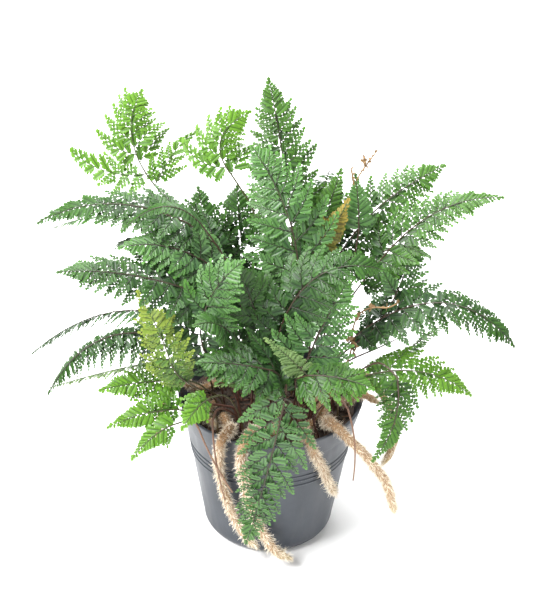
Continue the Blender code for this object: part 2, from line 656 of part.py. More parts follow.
def add_mesh_neighbour(neighbours, piece):
    """Add a finished object's surface to the neighbours."""
    mesh = piece.evaluated_get(bpy.context.evaluated_depsgraph_get()).to_mesh()
    neighbours.add(piece.name, [np.array(vertex.co) for vertex in mesh.vertices],
                   [list(face.vertices) for face in mesh.polygons])


def add_stem_neighbour(neighbours, name, edges):
    """Add a stem's strip to the neighbours."""
    points = [point for pair in edges for point in pair]
    neighbours.add(name, points, [[2 * i, 2 * i + 1, 2 * i + 3, 2 * i + 2] for i in range(len(edges) - 1)])


def fitted_pinnae(name, edges, plans, neighbours):
    """Each pinna's outline at the greatest length that clears its neighbours."""
    tree = neighbours.tree(without=name)
    outlines = []
    for plan in plans:
        for scale in PINNA_SCALES:
            outline = pinna_outline(edges, plan, scale)
            if not padded_blade(outline, plan[5]).overlap(tree):
                outlines.append((plan[0], plan[1], outline))
                break
    return outlines


def make_frond(name, edges, outlines, look, collection):
    """One leaf: an open surface of stem strip and pinnae, thickened, with a stouter stem."""
    work = bmesh.new()
    weights = work.verts.layers.deform.verify()
    rows = [[work.verts.new(point) for point in pair] for pair in edges]
    for left_right, ahead in zip(rows, rows[1:]):
        work.faces.new((left_right[0], left_right[1], ahead[1], ahead[0]))
    for row in rows:
        for vertex in row:
            vertex[weights][0] = 1.0
    for station, hand, outline in outlines:
        column = 0 if hand < 0 else 1
        near, far = rows[station][column], rows[station + 1][column]
        back, tip, front = [work.verts.new(point) for point in outline[1:4]]
        loops = [(near, far, front, back), (back, front, tip)]
        for loop in loops:
            work.faces.new(loop if hand > 0 else loop[::-1])
    mesh = bpy.data.meshes.new(name)
    bmesh.ops.recalc_face_normals(work, faces=work.faces)
    work.to_mesh(mesh)
    work.free()
    piece = add_object(name, mesh, look, collection)
    piece.vertex_groups.new(name="stem")
    shell = piece.modifiers.new("Thickness", "SOLIDIFY")
    shell.thickness = STEM_THICKNESS
    shell.offset = 0.0
    shell.vertex_group = "stem"
    shell.thickness_vertex_group = BLADE_THICKNESS / STEM_THICKNESS
    return piece


def make_leaves_and_stipes(rhizome_paths, collection):
    """Lay out all stems, then build the fronds and the bare stipes."""
    names, paths = [], []
    for name, foot, base, middle, tip, _, _, _ in FRONDS:
        names.append("frond_" + name)
        paths.append(frond_path(foot_point(foot), *map(layout_point, (base, middle, tip))))
    for name, foot, base, middle, tip in BARE_STIPES:
        names.append(name)
        paths.append(frond_path(foot_point(foot), *map(layout_point, (base, middle, tip))))
    ring = [(RIM_RADIUS * math.cos(turn), RIM_RADIUS * math.sin(turn), POT_HEIGHT)
            for turn in np.linspace(0.0, math.tau, RIM_STATIONS)]
    fixed = [(path, radius + STEM_WIDTH) for radius, path in rhizome_paths]
    fixed.append((np.array(ring), RIM_SPACING))
    paths = spread_stems(paths, fixed)

    neighbours = Neighbours()
    for piece in list(collection.objects):
        add_mesh_neighbour(neighbours, piece)
    plans = {}
    for (name, *_, half_width, face, _), path, node in zip(FRONDS, paths, names):
        stations, pinnae = frond_plan(path, face, half_width * RIM_RADIUS)
        plans[node] = (stem_edges(stations), pinnae)
        add_stem_neighbour(neighbours, node, plans[node][0])
    bare = []
    for path, node in zip(paths[len(FRONDS):], names[len(FRONDS):]):
        sideways, _ = stem_frames(path, OUTWARD_FACE + UP * 0.3, STIPE_STATIONS)
        edges = stem_edges(list(zip(path, sideways)))
        add_stem_neighbour(neighbours, node, edges)
        bare.append((node, edges))
    for (*_, look), node in zip(FRONDS, names):
        edges, pinnae = plans[node]
        outlines = fitted_pinnae(node, edges, pinnae, neighbours)
        for _, _, outline in outlines:
            neighbours.add(node, outline, [list(range(len(outline)))])
        make_frond(node, edges, outlines, LEAF_LOOKS[look], collection)
    for node, edges in bare:
        make_frond(node, edges, [], STIPE_LOOK, collection)


# ---------------------------------------------------------------- the whole plant
def build():
    """Clear the scene and build the potted fern."""
    for piece in list(bpy.data.objects):
        bpy.data.objects.remove(piece, do_unlink=True)
    collection = bpy.data.collections.new("potted_fern")
    cutters = bpy.data.collections.new("cutters")
    bpy.context.scene.collection.children.link(collection)
    bpy.context.scene.collection.children.link(cutters)
    make_pot(collection, cutters)
    make_compost(collection)
    rhizome_paths = []
    for name, radius, stops in RHIZOMES:
        path = rhizome_path(radius, stops)
        rhizome_paths.append((radius, path))
        make_rhizome(name, radius, path, collection)
    bpy.context.view_layer.update()
    make_leaves_and_stipes(rhizome_paths, collection)


build()
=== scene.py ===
import math

import bmesh
import bpy
import numpy as np
from mathutils import Matrix, Vector
from mathutils.bvhtree import BVHTree


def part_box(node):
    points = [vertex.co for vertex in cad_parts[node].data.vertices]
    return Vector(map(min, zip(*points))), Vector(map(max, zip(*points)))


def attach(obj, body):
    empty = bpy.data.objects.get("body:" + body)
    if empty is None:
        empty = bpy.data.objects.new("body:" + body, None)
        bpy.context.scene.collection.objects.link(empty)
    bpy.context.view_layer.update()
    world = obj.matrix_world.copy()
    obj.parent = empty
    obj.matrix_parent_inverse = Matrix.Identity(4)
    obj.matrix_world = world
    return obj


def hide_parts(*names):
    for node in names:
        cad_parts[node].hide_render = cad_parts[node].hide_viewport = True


# A potted rabbit's-foot fern (Davallia): the fine fronds, furry rhizomes, compost and pot that stand
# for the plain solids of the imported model.  Units are metres, +Z is up.

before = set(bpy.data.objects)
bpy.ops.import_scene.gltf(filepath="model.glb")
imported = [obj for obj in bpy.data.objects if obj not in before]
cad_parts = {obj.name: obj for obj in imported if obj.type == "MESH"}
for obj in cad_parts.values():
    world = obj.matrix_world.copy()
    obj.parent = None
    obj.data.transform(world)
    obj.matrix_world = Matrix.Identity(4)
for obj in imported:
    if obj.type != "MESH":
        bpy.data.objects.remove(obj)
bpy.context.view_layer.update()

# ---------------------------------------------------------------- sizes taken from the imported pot
POT_LOW, POT_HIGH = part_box("pot")
RIM_RADIUS = (POT_HIGH.x - POT_LOW.x) / 2
POT_HEIGHT = POT_HIGH.z

# ---------------------------------------------------------------- sizes shared with the model's source
BASE_RADIUS = 0.052
BASE_ROUNDING = 0.012
WALL = 0.0018
FLOOR = 0.0025
LIP = 0.0012
COLLAR_DEPTH = 0.0185
COLLAR_FLARE = 0.0046
BAND_DEPTH = 0.0160
BAND_STEP = 0.0008
RIDGE_COUNT = 3
RIDGE_PITCH = 0.0049
RIDGE_WIDTH = 0.0018
RIDGE_STEP = 0.0009
DRAIN_COUNT = 6
DRAIN_RADIUS = 0.004
DRAIN_RING = 0.028
COMPOST_DEPTH = 0.013
COMPOST_DOME = 0.004
GAP = 0.0003
RIM_CLEARANCE = 2.0
CLEARING_ROUNDS = 4
RHIZOME_LIFT = 0.0015
RHIZOME_STATIONS = 15
STEM_WIDTH = 0.0020
STEM_SPACING = 0.0042
SETTLED = 0.00002
STIPE_STATIONS = 7
RACHIS_STATIONS = 15
STIPE_RISE = 0.42
STIPE_LEAVE = 0.30
CURVE_STEPS = 30
RIM_SPACING = 0.0040
RIM_STATIONS = 49
SPREAD_ROUNDS = 240
SPREAD_PUSH = 0.6


# ---------------------------------------------------------------- layout, as in the model
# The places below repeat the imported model's layout, because its source can't be read from here.
# Rhizomes: name, radius, then stops along the route.  A stop is the bearing in degrees (-90 is the
# front), how far the middle lies outside the pot's wall line in rhizome radii, and the height: lying
# on the compost, crossing over the rim, or a share of the pot's height.
RESTING = "resting"
CROSSING = "crossing"
RHIZOMES = [
    ("rhizome_front_left", 0.0052,
     [(-142, -5.0, RESTING), (-122, -2.8, RESTING), (-115, 0.0, CROSSING), (-118, 1.8, 0.93),
      (-121, 1.35, 0.76), (-119, 1.35, 0.56), (-114, 1.35, 0.37), (-105, 1.45, 0.21),
      (-97, 1.6, 0.13)]),
    ("rhizome_front_long", 0.0057,
     [(-78, -5.5, RESTING), (-93, -2.9, RESTING), (-102, 0.0, CROSSING), (-105, 1.85, 0.92),
      (-104, 1.4, 0.72), (-102, 1.4, 0.54), (-94, 1.55, 0.30), (-83, 2.3, 0.13), (-73, 3.0, 0.08)]),
    ("rhizome_front_right", 0.0050,
     [(-48, -5.0, RESTING), (-63, -2.8, RESTING), (-69, 0.0, CROSSING), (-65, 1.65, 0.95),
      (-57, 1.4, 0.79), (-49, 1.4, 0.62), (-41, 1.7, 0.48)]),
    ("rhizome_right_long", 0.0056,
     [(10, -6.5, RESTING), (-38, -3.2, RESTING), (-50, 0.2, CROSSING), (-47, 2.4, 1.02),
      (-41, 4.2, 0.91), (-35, 6.2, 0.76), (-31, 7.9, 0.62), (-28, 9.8, 0.38)]),
    ("rhizome_right_back", 0.0050,
     [(40, -6.0, RESTING), (22, -2.8, RESTING), (12, 0.0, CROSSING), (3, 3.2, 0.99), (-5, 6.4, 0.82),
      (-8, 6.9, 0.65), (-12, 6.0, 0.55)]),
    ("rhizome_right_rim", 0.0048,
     [(10, -5.6, RESTING), (-6, -3.0, RESTING), (-12, 0.0, CROSSING), (-16, 3.6, 1.06)]),
    ("rhizome_left_back", 0.0048,
     [(150, -6.0, RESTING), (172, -2.9, RESTING), (182, 0.0, CROSSING), (189, 2.6, 0.98),
      (193, 4.5, 0.84), (192, 5.4, 0.71)]),
    ("rhizome_inside_left", 0.0045,
     [(194, -6.0, RESTING), (203, -4.0, RESTING), (214, -3.1, RESTING), (225, -3.1, RESTING)]),
    ("rhizome_back", 0.0052,
     [(60, -6.0, RESTING), (80, -2.9, RESTING), (88, 0.2, CROSSING), (94, 2.0, 0.92),
      (99, 1.5, 0.70), (107, 1.5, 0.46)]),
]

# Fronds: name, where the stipe leaves the compost (x, y), where the blade begins, its middle and its
# tip (x, y, z), half width, the way its upper face looks, and the look of the leaf.  All are in rim
# radii from the centre of the rim plane.
FRONDS = [
    ("left_high", (-.30, .05), (-.85, -.15, 2.10), (-1.60, -.40, 2.45), (-2.30, -.65, 2.35),
     .34, (0, -.4, 1), "dark"),
    ("left_high_rear", (-.40, .30), (-.85, .45, 1.60), (-1.65, .35, 1.90), (-2.40, .25, 1.75),
     .28, (0, .35, 1), "blue"),
    ("left_curl", (-.12, -.22), (-.70, -.55, 2.30), (-1.05, -.75, 2.62), (-1.45, -.85, 2.40),
     .13, (-.3, -.4, 1), "dark"),
    ("left_middle", (-.34, -.26), (-.80, -.60, 1.60), (-1.45, -.90, 1.95), (-2.05, -1.15, 2.10),
     .38, (0, -.6, 1), "dark"),
    ("left_inner", (-.20, -.08), (-.70, -.35, 1.80), (-1.10, -.50, 2.05), (-1.50, -.65, 2.10),
     .32, (.1, -.7, 1), "blue"),
    ("left_droop_far", (-.50, .18), (-.95, .00, .90), (-1.80, .12, .85), (-2.65, .25, .20),
     .20, (-.3, .3, 1), "blue"),
    ("left_droop_near", (-.55, -.18), (-1.10, -.60, 1.05), (-1.75, -.80, 1.10), (-2.25, -.95, .55),
     .24, (-.4, -.5, 1), "dark"),
    ("left_droop_low", (-.62, .02), (-1.05, -.25, .55), (-1.75, -.15, .30), (-2.40, -.05, .00),
     .18, (-.2, .45, 1), "pale"),
    ("left_low", (-.62, -.34), (-.90, -.65, .55), (-1.32, -.82, .63), (-1.70, -1.00, .65),
     .25, (0, -.9, .7), "bright"),
    ("left_rim_out", (-.52, -.55), (-.90, -.95, .40), (-1.25, -1.12, .46), (-1.60, -1.25, .38),
     .22, (0, -1, .6), "bright"),
    ("left_rim_down", (-.44, -.66), (-.95, -1.15, .36), (-1.16, -1.28, .30), (-1.35, -1.42, .14),
     .16, (-.2, -1, .5), "bright"),
    ("left_yellow", (-.55, -.44), (-1.00, -.95, .95), (-1.12, -1.00, 1.38), (-1.30, -1.00, 1.80),
     .25, (-.1, -1, .5), "yellow"),
    ("left_rim_leaf", (-.30, -.72), (-.60, -1.10, .66), (-.73, -1.24, .62), (-.85, -1.38, .50),
     .18, (0, -1, .6), "bright"),
    ("rear_left_tall", (-.32, .38), (-.92, .28, 1.20), (-1.12, .34, 1.72), (-1.30, .45, 2.15),
     .40, (-.2, -.8, .7), "dark"),
    ("rear_left_middle", (-.16, .42), (-.56, .28, 1.15), (-.70, .34, 1.72), (-.80, .45, 2.20),
     .40, (0, -.8, .7), "dark"),
    ("rear_centre", (.00, .48), (-.26, .42, 1.10), (-.36, .48, 1.66), (-.40, .60, 2.15),
     .44, (0, -.8, .7), "dark"),
    ("young_left", (-.22, .56), (-1.25, .65, 2.10), (-1.50, .72, 2.62), (-1.40, .80, 3.12),
     .46, (.1, -1, .4), "bright"),
    ("young_centre", (-.06, .60), (-.45, .55, 2.30), (-.58, .60, 2.68), (-.30, .65, 2.98),
     .34, (0, -1, .4), "bright"),
    ("crown_top", (.10, .28), (.16, .38, 1.95), (.04, .50, 2.70), (-.10, .60, 3.38),
     .40, (0, -1, .4), "mid"),
    ("crown_front", (.16, -.06), (.26, -.40, 1.60), (.12, -.24, 2.30), (-.25, .00, 2.92),
     .52, (.1, -1, .6), "blue"),
    ("crown_right", (.26, .10), (.34, .02, 1.50), (.50, .12, 2.05), (.65, .25, 2.55),
     .28, (0, -1, .4), "mid"),
    ("crown_amber", (.32, -.04), (.46, -.15, 1.90), (.60, -.08, 2.10), (.72, .00, 2.32),
     .16, (0, -1, .6), "amber"),
    ("arch_right", (.12, -.38), (.12, -.74, 1.40), (.50, -.82, 1.98), (1.08, -.75, 1.98),
     .40, (.2, -.8, 1), "dark"),
    ("right_high_tall", (.40, .30), (.90, .25, 1.95), (1.25, .38, 2.25), (1.72, .55, 2.48),
     .34, (0, -.8, .8), "mid"),
    ("right_high_long", (.50, .10), (1.15, .00, 1.75), (1.65, -.08, 2.30), (2.25, -.15, 2.50),
     .32, (-.2, -.6, 1), "mid"),
    ("right_up_left", (.36, .16), (.85, .02, 1.95), (.84, .08, 2.22), (.80, .16, 2.52),
     .18, (.2, -1, .5), "blue"),
    ("right_wide", (.50, -.28), (1.10, -.40, 1.20), (1.80, -.60, 1.52), (2.42, -.82, 1.18),
     .42, (.1, -.35, 1), "dark"),
    ("right_upright", (.44, -.12), (1.20, -.30, 1.30), (1.32, -.18, 1.58), (1.42, -.04, 1.88),
     .32, (0, -1, .6), "blue"),
    ("right_low", (.60, -.42), (1.20, -.75, .80), (1.62, -.85, .84), (2.00, -.95, .68),
     .28, (0, -.7, .9), "bright"),
    ("right_hang", (.52, -.56), (1.25, -1.00, .90), (1.25, -1.22, .55), (1.05, -1.38, .15),
     .22, (.1, -1, .5), "mid"),
    ("right_edge", (.64, -.02), (1.30, .00, .45), (1.60, .20, .58), (1.88, .42, .66),
     .14, (.5, .5, .7), "mid"),
    ("right_inner", (.58, -.18), (1.00, -.62, .95), (1.20, -.64, 1.08), (1.42, -.62, 1.22),
     .28, (0, -.8, .8), "mid"),
    ("front_drooping", (.06, -.66), (.15, -1.15, .75), (-.02, -1.42, -.05), (-.22, -1.42, -.95),
     .46, (0, -1, .25), "blue"),
    ("front_edge_on", (.20, -.62), (.12, -1.00, .62), (-.20, -1.12, .82), (-.52, -1.20, .88),
     .16, (0, .25, 1), "pale"),
    ("centre_pale", (.30, -.56), (.35, -.92, .85), (.15, -1.00, 1.12), (-.05, -1.08, 1.36),
     .14, (-.6, .2, .8), "pale"),
    ("centre_left_up", (-.32, -.42), (-.72, -.70, 1.15), (-.60, -.80, 1.68), (-.30, -.86, 2.10),
     .38, (0, -.8, .8), "blue"),
    ("inner_left", (-.20, -.52), (-.26, -.66, .86), (-.48, -.92, 1.38), (-.75, -1.18, 1.56),
     .38, (0, -.6, 1), "dark"),
    ("inner_centre", (.00, -.28), (-.06, -.52, .92), (-.20, -.68, 1.50), (-.36, -.80, 2.02),
     .40, (0, -.8, .8), "dark"),
    ("inner_right", (.26, -.50), (.34, -.80, .90), (.52, -.92, 1.48), (.74, -.90, 1.98),
     .40, (0, -.8, .8), "blue"),
    ("low_left", (-.12, -.64), (.02, -.95, .90), (-.33, -1.18, 1.12), (-.70, -1.38, 1.26),
     .36, (0, -.5, 1), "dark"),
    ("low_right", (.38, -.58), (.36, -1.02, .90), (.66, -1.16, .98), (.98, -1.28, .95),
     .34, (0, -.6, 1), "mid"),
    ("back_high", (.22, .60), (.45, 1.00, 1.50), (.52, 1.35, 1.78), (.60, 1.75, 1.80),
     .34, (.1, .6, 1), "dark"),
    ("back_left", (-.42, .54), (-1.00, .95, 1.00), (-1.40, 1.30, 1.12), (-1.80, 1.62, .85),
     .36, (-.3, .5, 1), "dark"),
    ("back_centre", (.04, .66), (.05, 1.15, .95), (.08, 1.68, 1.08), (.12, 2.20, .70),
     .38, (0, .5, 1), "mid"),
    ("back_right", (.50, .50), (1.00, 1.00, 1.00), (1.40, 1.32, 1.10), (1.78, 1.60, .80),
     .36, (.3, .5, 1), "mid"),
]

# Bare stipes that have shed their leaf: name, foot (x, y), shoulder, middle and end (x, y, z).
BARE_STIPES = [
    ("bare_stipe_front", (-.34, -.56), (-.58, -1.06, .34), (-.54, -1.24, .00), (-.44, -1.34, -.44)),
    ("bare_stipe_left", (-.44, -.44), (-.76, -.98, .32), (-.60, -1.26, .08), (-.36, -1.42, -.28)),
    ("bare_stipe_right", (.46, -.44), (.78, -.94, .46), (.86, -1.16, .20), (.86, -1.30, -.18)),
]

UP = np.array([0.0, 0.0, 1.0])
OUTWARD_FACE = np.array([0.0, -1.0, 0.0])

# ---------------------------------------------------------------- the frond's make-up
# A pinna is a leaflet of the first order and a pinnule one of the last; parts are all in between.  A
# share is of the length of what carries the leaflet.  In degrees: how far a leaflet leans out from the
# foot of its stem, how much less it leans out from the tip, and how far it is rolled.
PINNA_LEAN = 60
PINNA_LEAN_FALL = 20
PINNA_ROLL = 9
PART_LEAN = 50
PART_LEAN_FALL = 16
PART_ROLL = 13
# How pinnae follow each other up the rachis, and parts along a midrib.
PINNA_SPACING = 0.40
PINNA_CLOSEST = 0.0030
PART_FIRST = 0.045
PART_END = 0.96
PART_CLOSEST = 0.0021
PACKING = 0.70
# The lengths above which a leaflet is divided, or has lobes.
COMPOUND_LENGTH = 0.0135
LOBED_LENGTH = 0.0036
# How long and how wide leaflets are.
PINNA_TAPER = 0.85
PINNA_LEAST = 0.0025
PINNA_SHARE = 0.52
PINNA_WIDEST = 0.0066
PART_SHARE = 0.36
SECOND_SHARE = 0.88
PART_TAPER = 0.80
PART_LEAST = 0.0012
PINNULE_SHARE = 0.58
PINNULE_WIDEST = 0.0056
PINNULE_NARROWEST = 0.0020
END_LENGTH = 0.0030
# The lobes on a pinnule's margin: their pitch, and the shares of its length where they run.
LOBE_PITCH = 0.0026
LOBED_SHARE = 0.84
PINNULE_FOOT = 0.02
PINNULE_BODY = 0.80
# How deep a pinnule's midrib lies and how high its blade stands beside it, in half widths, and how
# far its end bends down, as a share of its length.
FOLD_DEPTH = 0.16
FOLD_RISE = 0.10
PINNULE_ARCH = 0.10
# How far a midrib sweeps forward and droops.
COSTA_SWEEP = 0.17
COSTA_DROOP = 0.11
# The leaflet that ends each frond.
LAST_FOOT = 0.965
LAST_LENGTH = 0.0052
LAST_WIDTH = 0.0030

# How a frond grows: how far its leaflets sag, the share of its stipe that carries leaflets, how much
# longer its first pair is, how much wider and how much more open it is than the rest.
HABIT = {"limp": 0.16, "leafy": 0.0, "basal": 1.0, "wide": 1.0, "open": 1.0}
HABITS = {
    "left_droop_near": {"limp": 0.60, "wide": 1.35},
    "left_droop_far": {"limp": 0.40, "wide": 1.35},
    "left_droop_low": {"limp": 0.35, "wide": 1.20},
    "young_left": {"basal": 1.55}, "young_centre": {"basal": 1.25},
    "left_yellow": {"leafy": 0.30, "open": 1.10},
    "inner_left": {"leafy": 0.50}, "inner_centre": {"leafy": 0.55}, "inner_right": {"leafy": 0.50},
    "crown_front": {"leafy": 0.45}, "crown_right": {"leafy": 0.45}, "crown_top": {"leafy": 0.40},
    "rear_centre": {"leafy": 0.45}, "arch_right": {"leafy": 0.40}, "centre_left_up": {"leafy": 0.45},
    "low_left": {"leafy": 0.30}, "low_right": {"leafy": 0.35}, "rear_left_middle": {"leafy": 0.45},
    "rear_left_tall": {"leafy": 0.35}, "right_inner": {"leafy": 0.45}, "left_inner": {"leafy": 0.45},
    "right_upright": {"leafy": 0.40}, "back_high": {"leafy": 0.30}, "right_low": {"leafy": 0.25},
    "right_high_tall": {"leafy": 0.30}, "right_high_long": {"leafy": 0.25},
    "right_wide": {"leafy": 0.20}, "left_middle": {"leafy": 0.25}, "left_high": {"leafy": 0.20},
    "right_edge": {"leafy": 0.20},
}

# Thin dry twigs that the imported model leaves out: each stalk's stops in rim radii from the centre of
# the rim plane, with the share of the stalk where its scraps of leaf begin; then the scraps' size.
TWIGS = [
    ("crozier", [([(0.22, 0.12, -0.14), (0.30, 0.14, 0.70), (0.52, 0.16, 1.65), (0.80, 0.16, 2.46),
                   (0.90, 0.16, 2.66), (1.00, 0.16, 2.83)], 0.93),
                 ([(0.79, 0.16, 2.43), (0.77, 0.14, 2.53), (0.75, 0.14, 2.62)], 0.4),
                 ([(0.89, 0.16, 2.66), (0.87, 0.15, 2.71), (0.88, 0.16, 2.76)], 0.4)], 0.0021),
    ("withered_ends", [([(0.48, -0.34, -0.14), (0.66, -0.42, 0.34), (0.80, -0.54, 0.85),
                         (0.81, -0.67, 1.25), (0.87, -0.73, 1.47), (1.00, -0.75, 1.55),
                         (1.14, -0.73, 1.54), (1.24, -0.67, 1.56)], 0.62),
                       ([(0.81, -0.67, 1.25), (0.77, -0.69, 1.15), (0.85, -0.69, 1.06),
                         (0.81, -0.69, 0.93)], 0.3)], 0.0034),
]
SCRAP_PLACES = 7
SCRAPS_PER_PLACE = 3
TWIG_RINGS = 48
TWIG_SIDES = 6
TWIG_RADIUS = 0.00085
TWIG_TIP_RADIUS = 0.00052
BARE_RINGS = 60
BARE_SIDES = 9
BARE_RADIUS = 0.00105
BARE_TIP_RADIUS = 0.00060

# The corners of one lobe on a pinnule's margin: the share of the lobe's pitch, how far it leans
# forward, its share of the half width, its rise, and how much lighter and older it is than the blade.
# The lighter column is painted light on the lobe, set against the painted shade in the sinuses.
TOOTH_CORNERS = [(0.13, 0.7, 0.84, 0.06, 0.20, 0.10), (0.60, 1.9, 1.16, -0.12, 0.26, 0.24),
                 (0.84, 1.4, 0.74, 0.04, 0.06, 0.14)]
# The corners of a pinnule's blunt end: shares of its length and of its half width, and their rise.
END_CORNERS = [(0.93, -0.62, 0.02), (1.01, -0.26, -0.06), (1.01, 0.26, -0.06), (0.93, 0.62, 0.02)]
# Along a single lobe: shares of its length for the place, the half width and the rise, then how much
# older its edge and its middle are, and how much of the vein shows.
LOBE_STATIONS = [(0.22, 0.26, 0.03, 0.00, 0.00, 0.55), (0.66, 0.42, 0.00, 0.10, 0.00, 0.25),
                 (0.95, 0.20, -0.05, 0.14, 0.08, 0.00)]
LOBE_FACES = [[0, 1, 2], [0, 2, 3], [1, 4, 5, 2], [2, 5, 6, 3], [4, 7, 8, 5], [5, 8, 9, 6]]

STEM_SAMPLES = 120
# A frond's curve runs straight on this far past its tip, for the leaflets that reach past it.
BEYOND_TIP = 0.05
STRIP_STATIONS = 30
STRIP_WIDTH = 0.0016
STIPE_RINGS = 26
STIPE_SIDES = 8
RACHIS_RINGS = 40
RACHIS_SIDES = 7
COSTA_RINGS = 8
RACHIS_RADIUS = 0.00065
RACHIS_TIP_RADIUS = 0.00022
COSTA_RADIUS = 0.00048
BLADE_CLEARANCE = 0.0011
# The half width of the outline that is tested for room, as a share of the leaflet's length.
OUTLINE_SHARE = 0.17
# Each try at clearing the neighbours: a pinna's share of its length and its tilt in degrees.
PINNA_TRIES = [(1.0, 0), (1.0, 14), (1.0, -14), (1.0, 28), (1.0, -28), (0.85, 0), (0.85, 20),
               (0.85, -20), (0.70, 0), (0.70, 25), (0.70, -25), (0.55, 0), (0.55, 30), (0.40, 0),
               (0.28, 0)]

POT_STEPS = 180
COMPOST_RINGS = 56
COMPOST_SPOKES = 168
CLOD_RATE = 90
CLOD_HEIGHT = 0.00035
GRAIN_HEIGHT = 0.00042
CRUMBS = 1500
CRUMB_LEAST = 0.0007
CRUMB_RANGE = 0.0019
STRAWS = 120
STRAW_LEAST = 0.006
STRAW_RANGE = 0.016
STRAW_RADIUS = 0.00028
STRAW_RINGS = 5

RHIZOME_STEP = 0.0016
RHIZOME_SIDES = 20
# How fast the rhizome's knobs and its finer scales come round, in radians a metre.
KNOB_RATE = 520
SCALE_RATE = 1310
HAIRS_PER_METRE = 36000
HAIR_LENGTH = 0.0032
HAIR_WIDTH = 0.00010
WHISKER_SHARE = 0.13
WHISKER_LENGTH = 0.0056
WHISKER_WIDTH = 0.00026
# Each hair starts this far under the rhizome's surface, and takes this much of the flat map.
HAIR_ROOT = 0.0003
HAIR_PATCH = (0.004, 0.008)
# The fur stands this far out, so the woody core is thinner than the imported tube.
FUR_DEPTH = 0.0019


# ---------------------------------------------------------------- one mesh from many bits
class Cloth:
    """Gathers points, faces, flat places and tones, and makes one object of them.

    A tone is three numbers from 0 to 1: light or dark, old or young, and blade or vein.
    """

    def __init__(self):
        self.points, self.flats, self.tones = [], [], []
        self.faces, self.slots = [], []
        self.count = 0

    def add(self, points, faces, flats, tones, slot=0):
        """Add one bit; its faces number its own points."""
        points = np.asarray(points, float)
        self.points.append(points)
        self.flats.append(np.asarray(flats, float))
        self.tones.append(np.broadcast_to(np.asarray(tones, float), (len(points), 3)))
        start = self.count
        self.faces.extend([[start + i for i in face] for face in faces])
        self.slots.extend([slot] * len(faces))
        self.count += len(points)

    def make(self, name, materials, smooth=True):
        """The finished object."""
        mesh = bpy.data.meshes.new(name)
        points = np.vstack(self.points)
        mesh.from_pydata(points.tolist(), [], self.faces)
        for material in materials:
            mesh.materials.append(material)
        mesh.polygons.foreach_set("material_index", self.slots)
        flats = np.vstack(self.flats)
        corners = np.empty(len(mesh.loops), int)
        mesh.loops.foreach_get("vertex_index", corners)
        layer = mesh.uv_layers.new(name="OFBake")
        layer.data.foreach_set("uv", flats[corners].ravel())
        tones = np.hstack([np.vstack(self.tones), np.ones((len(points), 1))])
        attribute = mesh.color_attributes.new("tone", "FLOAT_COLOR", "POINT")
        attribute.data.foreach_set("color", tones.ravel())
        mesh.polygons.foreach_set("use_smooth", [smooth] * len(mesh.polygons))
        mesh.update()
        return new_object(name, mesh)


def new_object(name, data):
    """An object in the scene that holds this data."""
    piece = bpy.data.objects.new(name, data)
    bpy.context.scene.collection.objects.link(piece)
    return piece


def settle(piece, slot, *nodes):
    """The piece rides with the plant and stands for its CAD nodes; the slot is not used."""
    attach(piece, "root")
    if nodes:
        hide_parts(*nodes)


def tube_points(path, radii, sides):
    """Rings of points round a path, and their angles as shares of a turn."""
    path = np.asarray(path, float)
    along = np.gradient(path, axis=0)
    along /= np.linalg.norm(along, axis=1)[:, None]
    side = np.cross(along[0], UP if abs(along[0][2]) < 0.9 else np.array([1.0, 0.0, 0.0]))
    rings, normals = [], []
    for point, run, radius in zip(path, along, radii):
        side = unit(side - run * (side @ run))
        top = np.cross(run, side)
        turns = np.arange(sides) * math.tau / sides
        normal = np.outer(np.cos(turns), side) + np.outer(np.sin(turns), top)
        rings.append(point + normal * radius)
        normals.append(normal)
    return np.array(rings), np.array(normals), along


def tube_faces(stations, sides, closed_tip=False):
    """Quads between the rings of a tube."""
    faces = []
    for station in range(stations - 1):
        for side in range(sides):
            after = (side + 1) % sides
            low, high = station * sides, (station + 1) * sides
            faces.append([low + side, low + after, high + after, high + side])
    if closed_tip:
        faces.append([(stations - 1) * sides + side for side in range(sides)])
        faces.append([side for side in reversed(range(sides))])
    return faces


def add_tube(cloth, path, radii, sides, flats, tones, slot=0, closed=False):
    """A tube whose flat places and tones are given for each station."""
    rings, _, _ = tube_points(path, radii, sides)
    cloth.add(rings.reshape(-1, 3), tube_faces(len(path), sides, closed),
              np.repeat(np.asarray(flats, float), sides, axis=0),
              np.repeat(np.asarray(tones, float), sides, axis=0), slot)


# ---------------------------------------------------------------- paths, worked out as in the model
def unit(vector):
    """The vector at length one."""
    return vector / np.linalg.norm(vector)


def layout_point(place):
    """A place given in rim radii from the centre of the rim plane, in metres."""
    return UP * POT_HEIGHT + RIM_RADIUS * np.array(place)


def foot_point(place):
    """Where a stipe meets the compost; its place is in rim radii from the pot's axis."""
    x, y = place[0] * RIM_RADIUS, place[1] * RIM_RADIUS
    return np.array([x, y, compost_height(math.hypot(x, y)) + GAP + STEM_WIDTH / 2])


def wall_radius(height):
    """The outer radius of the plain tapered wall, which the collar, band and ridges stand out from."""
    neck = RIM_RADIUS - COLLAR_FLARE - BAND_STEP
    return BASE_RADIUS + (neck - BASE_RADIUS) * height / (POT_HEIGHT - COLLAR_DEPTH)


def envelope_radius(height):
    """The outer radius with the collar, the band and the ridges covered."""
    return min(RIM_RADIUS, wall_radius(height) + RIDGE_STEP)


def compost_height(radius):
    """The compost's surface: a low dome that falls to the pot's side."""
    return POT_HEIGHT - COMPOST_DEPTH + COMPOST_DOME * math.cos(min(radius / RIM_RADIUS, 1.0) * math.pi / 2)


